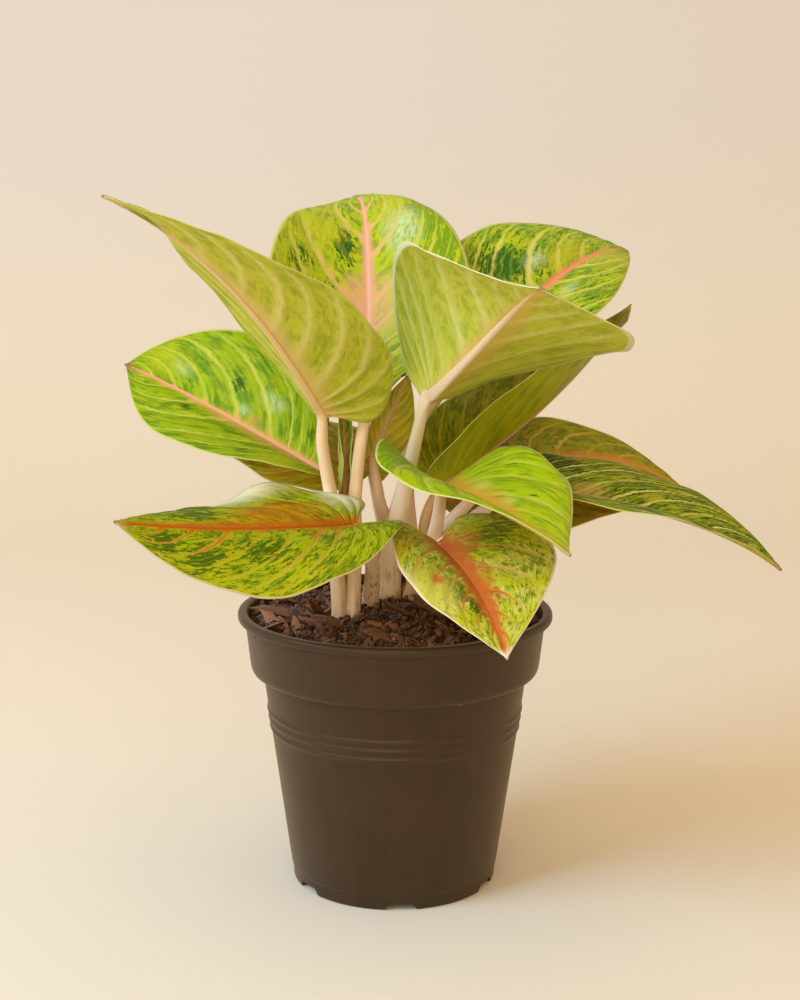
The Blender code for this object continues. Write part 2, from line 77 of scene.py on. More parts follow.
def readPlaces(piece, what="co"):
    values = np.empty(len(piece.data.vertices) * 3)
    piece.data.vertices.foreach_get(what, values)
    return values.reshape(-1, 3)


def setPlaces(piece, places):
    piece.data.vertices.foreach_set("co", np.asarray(places, float).ravel())
    piece.data.update()


def newGrid(columns, rows, size=1):
    # a grid primitive, and the places of its points
    selectOnly()
    bpy.ops.mesh.primitive_grid_add(x_subdivisions=columns, y_subdivisions=rows, size=size)
    return bpy.context.object, readPlaces(bpy.context.object)


def addAttribute(piece, name, kind, values):
    attribute = piece.data.attributes.new(name, kind, "POINT")
    key = "vector" if kind == "FLOAT_VECTOR" else "value"
    attribute.data.foreach_set(key, np.asarray(values, float).ravel())


def joinPieces(pieces):
    selectOnly(*pieces)
    bpy.ops.object.join()
    return bpy.context.object


def finishPiece(piece, name, materials, nodes=()):
    piece.name = name
    piece.data.name = name
    for material in materials:
        piece.data.materials.append(material)
    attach(piece, "root")
    if nodes:
        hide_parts(*nodes)
    return piece


def ramp(x, low, high):
    x = np.clip((x - low) / (high - low), 0, 1)
    return x * x * (3 - 2 * x)


def slowNoise(places, span, seed):
    # smooth lumps of about this span, from a few waves
    rng = np.random.default_rng(seed)
    total = 0
    for k in range(6):
        direction = rng.normal(size=3)
        direction /= np.linalg.norm(direction)
        total = total + np.sin(places @ direction * turn / span * rng.uniform(0.6, 1.6)
                               + rng.uniform(0, turn))
    return total / 6


class Shading:
    # short names for the nodes of one material, whose colour is laid on in layers

    def __init__(self, name):
        self.material = bpy.data.materials.new(name)
        self.material.use_nodes = True
        self.tree = self.material.node_tree
        self.shader = self.tree.nodes["Principled BSDF"]

    def node(self, kind, inputs=(), **settings):
        node = self.tree.nodes.new("ShaderNode" + kind)
        for key, value in settings.items():
            setattr(node, key, value)
        for socket, value in zip(node.inputs, inputs):
            self.put(value, socket)
        return node

    def put(self, value, socket):
        if isinstance(value, bpy.types.NodeSocket):
            self.tree.links.new(value, socket)
        elif value is not None:
            socket.default_value = value

    def math(self, operation, a, b=0.0, c=0.0):
        return self.node("Math", (a, b, c), operation=operation).outputs[0]

    def scaled(self, value, factor, plus=None):
        if plus is None:
            return self.math("MULTIPLY", value, factor)
        return self.math("MULTIPLY_ADD", value, factor, plus)

    def band(self, value, low, high, start=0.0, end=1.0):
        # smooth step from start to end between low and high
        node = self.node("MapRange", (value, low, high, start, end),
                         interpolation_type="SMOOTHSTEP")
        return node.outputs[0]

    def mix(self, share, a, b):
        node = self.node("Mix", data_type="RGBA")
        for socket, value in ((0, share), (6, a), (7, b)):
            if isinstance(value, tuple) and len(value) == 3:
                value = (*value, 1.0)
            self.put(value, node.inputs[socket])
        return node.outputs[2]

    def over(self, share, colour, strength=None):
        # lays a colour over what is there
        if strength is not None:
            share = self.scaled(share, strength)
        self.colour = self.mix(share, self.colour, colour)

    def noise(self, vector, scale, detail=2.0, roughness=0.5, distortion=0.0):
        node = self.node("TexNoise")
        self.put(vector, node.inputs["Vector"])
        node.inputs["Scale"].default_value = scale
        node.inputs["Detail"].default_value = detail
        node.inputs["Roughness"].default_value = roughness
        node.inputs["Distortion"].default_value = distortion
        return node.outputs[0]

    def stretch(self, vector, scale, shift=(0, 0, 0)):
        node = self.node("Mapping", (vector,))
        node.inputs["Location"].default_value = shift
        node.inputs["Scale"].default_value = scale
        return node.outputs[0]

    def attribute(self, name):
        return self.node("Attribute", attribute_name=name)

    def split(self, vector):
        return self.node("SeparateXYZ", (vector,)).outputs

    def place(self):
        return self.node("TexCoord").outputs["Object"]

    def finish(self, roughness, bump=None, height=0.0, **values):
        self.put(self.colour, self.shader.inputs["Base Color"])
        self.put(roughness, self.shader.inputs["Roughness"])
        for key, value in values.items():
            self.shader.inputs[key.replace("_", " ")].default_value = value
        if bump is not None:
            node = self.node("Bump")
            node.inputs["Strength"].default_value = 1.0
            node.inputs["Distance"].default_value = height
            self.put(bump, node.inputs["Height"])
            self.put(node.outputs[0], self.shader.inputs["Normal"])
        return self.material


# Leaf shapes, in millimetres and degrees, left half then right half. They are those of the
# solids, but centre_right is wider at the left, and low_left has a stretch of margin that stands
# up. A leaf starts at the end of its stalk, "at"; heading and pitch are its direction there, turn
# and bend the change up to the tip. Fold lifts each half at the base and the tip, and curl bends
# it on to its margin. The stalk runs from its foot by the places given, and stout widens its foot.
leafUsual = dict(turn=0, bend=-40, ease=1.6, roll=0, twist=0, length=150, half=(48, 48),
                 fold=((15, 10), (15, 10)), curl=((-15, -20, -15), (-15, -20, -15)),
                 lobes=(22, 22), lift=(0, 0), ripple=1, stout=1, flap=None)
leafShapes = {
    "upper_left": dict(
        at=(-37, -22, 249), heading=238, turn=-15, pitch=49, bend=-28, roll=5, twist=5, length=180,
        half=(53, 50), fold=((38, 10), (32, 13)), curl=((-5, -13, -10), (-9, -19, -12)),
        foot=(-29, -14), by=((-31, -16, 185), (-33, -17, 208), (-37, -20, 233))),
    "top": dict(
        at=(-15, 2, 253), heading=88, turn=10, pitch=67, bend=-63, roll=12, length=163, half=(58, 55),
        fold=((28, 8), (13, 6)), curl=((-16, 38, -15), (-10, -10, -16)), lobes=(4, -14),
        foot=(-22, -13), by=((-21, -10, 185), (-21, -9, 205), (-18, -6, 235))),
    "upper_front": dict(
        at=(14, -28, 256), heading=-60, turn=-28, pitch=32, bend=-26, ease=1.7, roll=15, length=181,
        half=(71, 60), fold=((36, -6), (78, -4)), curl=((-20, -15, -4), (-32, -7, 0)), lobes=(15, 12),
        stout=1.8, foot=(-4, 15), by=((-2, 12, 180), (1, 7, 194), (4, 1, 208), (8, -11, 227))),
    "top_right": dict(
        at=(34, 8, 273), heading=37, turn=24, pitch=34, bend=-44, ease=2.0, roll=-27, twist=4,
        length=167, half=(53, 36), fold=((24, 8), (18, 9)), curl=((-14, -12, -25), (-15, -19, -24)),
        lobes=(22, 6), foot=(10, 29), by=((8, 27, 180), (6, 27, 205), (7, 26, 228), (14, 22, 244))),
    "middle_left": dict(
        at=(-36, -3, 217), heading=153, turn=-21, pitch=23, bend=-14, roll=29, twist=20, length=156,
        half=(40, 52), fold=((42, 11), (23, 34)), curl=((-9, -9, -16), (-15, -20, -8)), lobes=(2, -14),
        foot=(-29, -10), by=((-31, -8, 185), (-33, -6, 203))),
    "low_left": dict(
        at=(-19, -45, 199), heading=218, turn=-3, pitch=4, bend=8, roll=-3, length=134, half=(48, 39),
        fold=((9, -60), (45, 18)), curl=((-18, -24, -28), (-43, -46, -33)), lobes=(19, 22),
        lift=(20, 0), stout=1.2, flap=(-0.04, 0.50, 8.0), foot=(-13, 3), by=((-12, -3, 165),
        (-13, -18, 181))),
    "low_front": dict(
        at=(21, -42, 189), heading=-68, turn=-10, pitch=-9, bend=-23, roll=-2, twist=-9, length=106,
        half=(44, 35), fold=((24, 24), (33, 16)), curl=((-8, -17, -19), (-8, -24, -16)), foot=(9, 6),
        by=((12, -2, 162), (17, -18, 175))),
    "middle_front": dict(
        at=(23, -32, 215), heading=-79, turn=31, pitch=6, bend=-28, roll=8, twist=10, length=125,
        half=(48, 47), fold=((36, 12), (26, 19)), curl=((18, -9, -18), (18, -39, -17)), lobes=(23, 30),
        lift=(-10, -23), stout=1.25, foot=(9, 9), by=((15, 3, 168), (20, -7, 186), (22, -20, 200))),
    "right_back": dict(
        at=(57, 16, 221), heading=34, turn=2, pitch=2, bend=-39, ease=1.5, roll=-18, twist=-3,
        length=144, half=(50, 34), fold=((-15, 13), (-6, 0)), curl=((-10, 6, -17), (-15, -20, -15)),
        lobes=(0, 16), foot=(11, 10), by=((18, 7, 178), (36, 6, 199))),
    "far_right": dict(
        at=(61, -12, 212), heading=-14, turn=13, pitch=-4, bend=-33, ease=1.8, roll=-5, length=143,
        half=(50, 50), fold=((18, 20), (18, 18)), curl=((-7, -23, -14), (-14, -10, -17)), foot=(12, 8),
        by=((16, 1, 166), (22, -9, 181), (42, -11, 198))),
    "centre_right": dict(
        at=(24, 10, 209), heading=34, turn=16, pitch=26, bend=13, roll=14, twist=-4, length=173,
        half=(45, 51), fold=((54, 12), (42, 20)), curl=((-4, -11, -16), (-14, 12, -17)), lobes=(8, 22),
        ripple=0.35, foot=(15, 25), by=((15, 16, 178), (17, 11, 195))),
    "centre": dict(
        at=(-12, 11, 223), heading=-26, pitch=68, bend=-6, roll=63, length=51, half=(14, 8),
        fold=((16, 6), (6, 4)), curl=((-10, -15, -10), (-10, -15, -10)), lobes=(18, 3), foot=(-7, 17),
        by=((-6, 9, 188), (-9, 5, 204))),
    "new": dict(
        at=(-27, 6, 204), heading=100, pitch=88, bend=0, length=50, half=(12, 12), fold=((30, 30),
        (30, 30)), curl=((100, 100, 90), (100, 100, 90)), lobes=(1, 1), foot=(-25, -11),
        by=((-26, -1, 176), (-27, 8, 192))),
    "left_back": dict(
        at=(-13, 31, 214), heading=165, pitch=20, bend=-25, roll=12, length=110, half=(27, 36),
        fold=((-26, -34), (15, 10)), lobes=(0, 16), foot=(-5, 18), by=((-6, 25, 178), (-9, 31, 194))),
    "right_low": dict(
        at=(23, 34, 197), heading=12, pitch=4, bend=-20, roll=-5, length=118, half=(36, 27),
        fold=((15, 10), (-35, -25)), curl=((-15, -20, -15), (-10, -15, -15)), lobes=(4, -4),
        foot=(14, 29), by=((18, 35, 178),)),
}
crownLeaves = {
    "crown_left": ("upper_left", "top", "new", "middle_left"),
    "crown_front": ("low_left",),
    "crown_centre": ("upper_front", "centre", "left_back"),
    "crown_right": ("low_front", "far_right", "middle_front", "right_back"),
    "crown_back": ("centre_right", "right_low", "top_right"),
}
blade = dict(rows=100, columns=22, crowding=1.5, spineSteps=48, thickness=0.8, rimThickness=0.4,
             marginSteps=801, widest=0.37, baseRows=0.42, tipCrowding=1.35, lobeSpread=0.27,
             baseFullness=0.9, tipHollow=1.9, tipDraw=1.12, slant=0.5, rowSpread=0.168,
             bow=(0.35, 0.62), liftReach=25.0, liftLimit=1.2, wave=1.0, waves=3.0, waveTurn=1.7,
             flapEdge=0.66, flapEase=1.5, veinStep=0.08, veinSweep=0.142, veinBow=1.39,
             patternGap=20, groove=0.4, grooveWidth=0.09, pillow=0.7, frill=0.5, frillSpan=17.0,
             frillGap=(31.7, 9))
# where the main veins of each half lie, from the stalk to the tip: left half, right half
veinsUsual = ((0.15, 0.27, 0.37, 0.45, 0.53, 0.60, 0.67, 0.74, 0.80),
              (0.13, 0.25, 0.36, 0.44, 0.51, 0.59, 0.66, 0.73, 0.79))
leafVeins = {
    "upper_left": (
        (0.10, 0.22, 0.33, 0.42, 0.50, 0.56, 0.63, 0.70, 0.78),
        (0.12, 0.24, 0.34, 0.43, 0.51, 0.58, 0.65, 0.72, 0.79)),
    "top": (
        (0.20, 0.32, 0.42, 0.495, 0.555, 0.695, 0.77),
        (0.30, 0.40, 0.47, 0.52, 0.565, 0.65, 0.71, 0.78)),
    "upper_front": (
        (0.20, 0.31, 0.40, 0.51, 0.60, 0.675, 0.75),
        (0.18, 0.30, 0.385, 0.455, 0.54, 0.63, 0.70, 0.77)),
    "top_right": (
        (0.20, 0.30, 0.39, 0.44, 0.49, 0.58, 0.645, 0.71, 0.78),
        (0.25, 0.35, 0.44, 0.53, 0.60, 0.66, 0.72, 0.79)),
    "middle_left": (
        (0.20, 0.32, 0.41, 0.475, 0.585, 0.66, 0.74, 0.80),
        (0.30, 0.40, 0.455, 0.52, 0.59, 0.655, 0.73, 0.80)),
    "low_left": (
        (0.10, 0.20, 0.29, 0.37, 0.435, 0.49, 0.545, 0.605, 0.665, 0.73, 0.79),
        (0.15, 0.27, 0.38, 0.47, 0.56, 0.62, 0.69, 0.76)),
    "low_front": (
        (0.12, 0.22, 0.31, 0.39, 0.47, 0.575, 0.665, 0.735, 0.80),
        (0.15, 0.25, 0.35, 0.44, 0.525, 0.58, 0.638, 0.705, 0.78)),
    "middle_front": (
        (0.15, 0.26, 0.365, 0.46, 0.585, 0.67, 0.75),
        (0.15, 0.28, 0.40, 0.49, 0.58, 0.66, 0.74)),
    "far_right": (
        (0.15, 0.27, 0.37, 0.44, 0.51, 0.57, 0.615, 0.675, 0.73, 0.79),
        (0.15, 0.27, 0.37, 0.44, 0.51, 0.57, 0.615, 0.675, 0.73, 0.79)),
    "centre_right": (
        (0.20, 0.30, 0.40, 0.47, 0.54, 0.61, 0.68, 0.75),
        (0.14, 0.27, 0.37, 0.44, 0.51, 0.59, 0.66, 0.74)),
}


def countVeins(order, veins):
    # whole numbers on the main veins, even steps beyond the first and the last
    beyond = 4 * blade["veinStep"]
    places = [veins[0] - beyond, *veins, veins[-1] + beyond]
    return np.interp(order, places, [-4, *range(len(veins)), len(veins) + 3])


def leafFrame(leaf, t):
    # along the midrib, to the right, and up out of the blade
    heading = np.radians(leaf["heading"] + leaf["turn"] * t)
    pitch = np.radians(leaf["pitch"] + leaf["bend"] * t ** leaf["ease"])
    roll = np.radians(leaf["roll"] + leaf["twist"] * t)[..., None]
    along = np.stack([np.cos(pitch) * np.cos(heading), np.cos(pitch) * np.sin(heading),
                      np.sin(pitch)], -1)
    level = np.stack([np.sin(heading), -np.cos(heading), 0 * heading], -1)
    up = np.cross(level, along)
    return along, level * np.cos(roll) + up * np.sin(roll), up * np.cos(roll) - level * np.sin(roll)


def spinePlaces(leaf, t):
    steps = blade["spineSteps"]
    along = leafFrame(leaf, (np.arange(steps) + 0.5) / steps)[0]
    spine = np.vstack([np.zeros(3), np.cumsum(along * leaf["length"] / steps, 0)]) + leaf["at"]
    knots = np.linspace(0, 1, steps + 1)
    return np.stack([np.interp(t, knots, spine[:, k]) for k in range(3)], -1)


def foldAt(leaf, side, t):
    base, tip = leaf["fold"][side > 0]
    return np.radians(base * (1 - t) + tip * t)


def outlinePlaces(leaf, side, row):
    # flat margin of one half, for row from 0 at the stalk to 1 at the tip
    length, half, lobe = leaf["length"], leaf["half"][side > 0], leaf["lobes"][side > 0]
    widest, base = blade["widest"] * length, blade["baseRows"]
    back = np.minimum(row / base, 1) * math.pi / 2
    s = 1 - (1 - np.clip((row - base) / (1 - base), 0, 1)) ** blade["tipCrowding"]
    near = widest - (widest + lobe) * np.cos(back) + lobe * np.exp(-(back / blade["lobeSpread"]) ** 2)
    a = np.where(row < base, near, widest + (length - widest) * s)
    b = np.where(row < base, half * np.sin(back) ** blade["baseFullness"],
                 half * (1 - s ** blade["tipHollow"]) ** blade["tipDraw"])
    angle = np.where(row < base, back, np.arccos(-s))
    return a, b, angle / math.pi


def onBlade(leaf, side, a, b, number):
    # carries flat places of one half onto the bent, folded and curled blade
    half = leaf["half"][side > 0]
    t = np.clip(a / leaf["length"], 0, 1)
    along, right, up = leafFrame(leaf, t)
    back = np.maximum(-a, 0)
    lift = np.radians(leaf["lift"][side > 0])
    lift = lift * np.minimum(blade["liftLimit"], back / blade["liftReach"])
    places = spinePlaces(leaf, t) - along * (back * np.cos(lift))[..., None]
    places = places + up * (back * np.sin(lift))[..., None]
    base, middle, tip = leaf["curl"][side > 0]
    curl = np.radians(base * (1 - t) * (1 - 2 * t) + middle * 4 * t * (1 - t)
                      + tip * t * (2 * t - 1))
    curl = np.where(np.abs(curl) < 0.0002, 0.0002, curl)
    fold = foldAt(leaf, side, t)
    w = b / half
    sideways = half / curl * (np.sin(fold + curl * w) - np.sin(fold))
    rise = half / curl * (np.cos(fold) - np.cos(fold + curl * w))
    rise = rise + blade["wave"] * w * w * np.sin(turn * blade["waves"] * t
                                                 + blade["waveTurn"] * number + side)
    if side > 0 and leaf["flap"]:
        # a stretch of the margin that stands up
        low, high, height = leaf["flap"]
        stretch = np.sin(math.pi * np.clip((t - low) / (high - low), 0, 1)) ** blade["flapEase"]
        rise = rise + height * ramp(w, blade["flapEdge"], 1) * stretch
    return places + right * (side * sideways)[..., None] + up * rise[..., None]


def makeBlade(name, number, materials):
    leaf = {**leafUsual, **leafShapes[name]}
    piece, flat = newGrid(2 * blade["columns"], blade["rows"])
    row = np.clip(flat[:, 1] + 0.5, 0, 1)
    across = np.clip(np.abs(flat[:, 0]) * 2, 0, 1) ** blade["crowding"]
    sides = np.where(flat[:, 0] < 0, -1, 1)
    rowLine = np.linspace(0, 1, blade["marginSteps"])
    places, veinPlace, bladePlace = (np.empty((len(flat), 3)) for _ in range(3))
    for side in (-1, 1):
        marginA, marginB, order = outlinePlaces(leaf, side, rowLine)
        start = np.maximum(marginA - blade["slant"] * marginB,
                           blade["rowSpread"] * leaf["length"] * order)
        start[0], start[-1] = 0, leaf["length"]
        start = np.minimum.accumulate(start[::-1])[::-1]
        mine = sides == side
        u = across[mine]
        a, b, m, o = (np.interp(row[mine], rowLine, line)
                      for line in (marginA, marginB, start, order))
        a, b, m = (np.where(row[mine] == 0, 0, line) for line in (a, b, m))
        bowA, bowB = m + blade["bow"][0] * (a - m), blade["bow"][1] * b
        flatA = (1 - u) ** 2 * m + 2 * u * (1 - u) * bowA + u * u * a
        flatB = 2 * u * (1 - u) * bowB + u * u * b
        places[mine] = onBlade(leaf, side, flatA, flatB, number)
        # in centimetres: along and across the veins, and aside and ahead on the flat blade
        order = o - blade["veinSweep"] * u ** blade["veinBow"]
        half = leaf["half"][side > 0] / 10
        veins = leafVeins.get(name, veinsUsual)[0 if side < 0 else 1]
        ahead = order * leaf["length"] / 10 + blade["patternGap"] * side
        veinPlace[mine] = np.stack([side * u * half, ahead, countVeins(order, veins)], -1)
        bladePlace[mine] = np.stack([side * flatB / 10, flatA / 10, u], -1)
    setPlaces(piece, places * mm)
    # the tissue swells between the side veins and dips along them, and the margin frills
    u = bladePlace[:, 2]
    cycle = np.abs((veinPlace[:, 2] + 0.5) % 1 - 0.5)
    dip = np.exp(-(cycle / blade["grooveWidth"]) ** 2) * ramp(u, 0.0, 0.12) * (1 - ramp(u, 0.75, 1))
    swell = np.sin(math.pi * cycle) * ramp(u, 0.05, 0.3) * (1 - ramp(u, 0.8, 1))
    ownPart = (number * blade["frillGap"][0] + sides * blade["frillGap"][1])[:, None]
    frill = slowNoise(bladePlace * (0, 10, 0) + ownPart, blade["frillSpan"], number)
    relief = leaf["ripple"] * (blade["pillow"] * swell - blade["groove"] * dip)
    relief = relief + blade["frill"] * frill * u ** 3
    size = min(1, leaf["length"] / 100)
    relief = (relief * size * mm)[:, None]
    setPlaces(piece, readPlaces(piece) + readPlaces(piece, "normal") * relief)
    addAttribute(piece, "veinPlace", "FLOAT_VECTOR", veinPlace)
    addAttribute(piece, "bladePlace", "FLOAT_VECTOR", bladePlace)
    for material in materials:
        piece.data.materials.append(material)
    thin = piece.vertex_groups.new(name="rim")
    for vert, value in enumerate(1 - ramp(u, 0.8, 1)):
        thin.add([vert], float(value), "REPLACE")
    editMesh(piece, weld)
    useModifier(piece, "SOLIDIFY", thickness=blade["thickness"] * mm, offset=0,
                vertex_group="rim", thickness_vertex_group=blade["rimThickness"],
                material_offset=1, material_offset_rim=0)
    piece.data.shade_smooth()
    return finishPiece(piece, "blade_" + name, [], ["leaf_" + name])


# Stalks: a tube from the mix up to the blade, running on under it as its midrib
stalk = dict(rings=150, sides=20, soilTop=139.5, upright=149.0, buried=12.0, footRadius=4.8,
             topRadius=2.8, taper=1.0, ribRadius=2.3, ribTaper=0.8, tipRadius=0.12, showing=0.6,
             depth=(0.1, 0.8), merge=(-0.8, 1.0), press=0.45, pressFade=(-0.4, 0.5),
             seam=0.16, seamAngle=4.4, seamWidth=0.22, seamFade=(0.5, 0.9),
             ribs=(0.0, 0.06, 0.14, 0.25, 0.37, 0.5, 0.62, 0.74, 0.84, 0.92, 0.97, 0.998))


def layTube(path, radii, sides, seam=None):
    # a grid rolled up along the path, ring by ring
    rings = len(path)
    piece, flat = newGrid(sides, rings - 1)
    ring = np.rint((flat[:, 1] + 0.5) * (rings - 1)).astype(int)
    angle = (flat[:, 0] + 0.5) * turn
    angle = np.where(flat[:, 0] > 0.499, 0, angle)
    tangent = np.gradient(path, axis=0)
    tangent /= np.linalg.norm(tangent, axis=1)[:, None]
    across = np.empty_like(path)
    level = np.array([1.0, 0, 0])
    for k in range(rings):
        level = level - tangent[k] * (level @ tangent[k])
        level /= np.linalg.norm(level)
        across[k] = level
    other = np.cross(tangent, across)
    r = radii[ring]
    if seam is not None:
        r = r * (1 - seam[ring] * np.exp(-((angle - stalk["seamAngle"]) / stalk["seamWidth"]) ** 2))
    places = path[ring] + (across[ring] * np.cos(angle)[:, None]
                           + other[ring] * np.sin(angle)[:, None]) * r[:, None]
    setPlaces(piece, places * mm)
    return piece, ring


def closeEnds():
    bpy.ops.mesh.select_all(action="DESELECT")
    bpy.ops.mesh.select_non_manifold()
    bpy.ops.mesh.edge_face_add()
    bpy.ops.mesh.select_all(action="SELECT")


def makeStalk(name, number, materials):
    leaf = {**leafUsual, **leafShapes[name]}
    x, y = leaf["foot"]
    knots = [(x, y, stalk["soilTop"] - stalk["buried"]), (x, y, stalk["soilTop"] + 2),
             (x, y, stalk["upright"] + 2), *leaf["by"]]
    ribs = np.array(stalk["ribs"])
    ribRadius = stalk["ribRadius"] * (1 - ribs) ** stalk["ribTaper"] * (leaf["length"] / 150) ** 0.5
    ribRadius = ribRadius + stalk["tipRadius"]
    fold = (np.tan(foldAt(leaf, -1, ribs)) + np.tan(foldAt(leaf, 1, ribs))) / 2
    show = stalk["showing"]
    depth = ribRadius * np.clip(math.sqrt(1 - show * show) - show * fold, *stalk["depth"])
    up = leafFrame(leaf, ribs)[2]
    under = spinePlaces(leaf, ribs) - up * depth[:, None]
    split = len(knots)
    path, place = smoothPath(knots + [tuple(p) for p in under], stalk["rings"])
    part = np.clip(place / split, 0, 1)
    foot = stalk["footRadius"] * leaf["stout"]
    radii = foot + (stalk["topRadius"] - foot) * part ** stalk["taper"]
    rib = np.interp(place - split, np.arange(len(ribs)), ribRadius)
    share = ramp(place - split, *stalk["merge"])
    radii = radii * (1 - share) + rib * share
    seam = stalk["seam"] * (1 - ramp(part, *stalk["seamFade"]))
    piece, ring = layTube(path, radii, stalk["sides"], seam)
    # what would stand out of the upper face is pressed down into the blade
    t = np.interp(place - split, np.arange(len(ribs)), ribs)[ring]
    _, right, up = leafFrame(leaf, t)
    places = readPlaces(piece) / mm
    away = places - spinePlaces(leaf, t)
    aside, rise = (away * right).sum(1), (away * up).sum(1)
    slope = np.tan(np.where(aside < 0, foldAt(leaf, -1, t), foldAt(leaf, 1, t)))
    stand = rise - slope * np.abs(aside)
    press = np.where(stand > 0, stand, stand * stalk["press"])
    press = press * ramp(place - split, *stalk["pressFade"])[ring]
    setPlaces(piece, (places - up * press[:, None]) * mm)
    along = np.where(place < split, part, 1 + (place - split) / (len(ribs) - 1))
    addAttribute(piece, "along", "FLOAT", along[ring])
    editMesh(piece, weld, closeEnds, faceOut)
    piece.data.shade_smooth()
    return finishPiece(piece, "stalk_" + name, materials)


def smoothPath(points, steps):
    # an even curve through the points, and the place along them of each step
    knots = np.array(points, float)
    ends = np.vstack([2 * knots[0] - knots[1], knots, 2 * knots[-1] - knots[-2]])
    place = np.linspace(0, len(knots) - 1, steps + 1)
    i = np.minimum(place.astype(int), len(knots) - 2)
    t = (place - i)[:, None]
    a, b, c, d = ends[i], ends[i + 1], ends[i + 2], ends[i + 3]
    curve = 0.5 * (2 * b + (c - a) * t + (2 * a - 5 * b + 4 * c - d) * t ** 2
                   + (3 * b - a - 3 * c + d) * t ** 3)
    return curve, place


# Leaf finishes: shares run from 0 to 1, widths are in centimetres, reaches too, left half then
# right half, and fades are parts of the length. Spots stand under the colour they bring: each is
# its place aside and ahead of the stalk's end, its half width and half length in centimetres, and
# its strength.
# The sheen colour and its spots are painted glare: pale highlight streaks laid into the blade's colour.
lookUsual = dict(lime=(0.34, 0.42, 0.004), yellow=(0.48, 0.47, 0.010), green=(0.14, 0.27, 0.003),
                 dark=(0.04, 0.11, 0.003), vein=(0.60, 0.58, 0.10), greenShare=0.45, darkShare=0.1,
                 soft=0.05, halo=0.4, core=0.75, haloWidth=0.18, bleed=(0.66, 0.36, 0.10),
                 bleedShare=0.7, bleedReach=(0.4, 0.4), bleedFade=(0.4, 0.9), veinRed=0.0,
                 rib=(0.70, 0.38, 0.22), ribWidth=0.17, margin=(0.58, 0.57, 0.17),
                 tip=(0.45, 0.38, 0.10), gloss=0.38, shine=0.1, back=(0.47, 0.46, 0.018),
                 backGreen=(0.25, 0.31, 0.006), backVein=(0.64, 0.60, 0.16),
                 backBleed=(0.60, 0.38, 0.12), backReach=(0.7, 0.7), backHalo=0.5, backCore=0.6,
                 ridge=(0.80, 0.60, 0.36), stem=(0.88, 0.64, 0.40), stemFoot=(0.78, 0.49, 0.26),
                 fleck=0.3, paintedGlare=(0.56, 0.66, 0.34), pale=(0.70, 0.66, 0.42), grain=(1.8, 3.0),
                 even=0.4, edge=0.965, spots={})
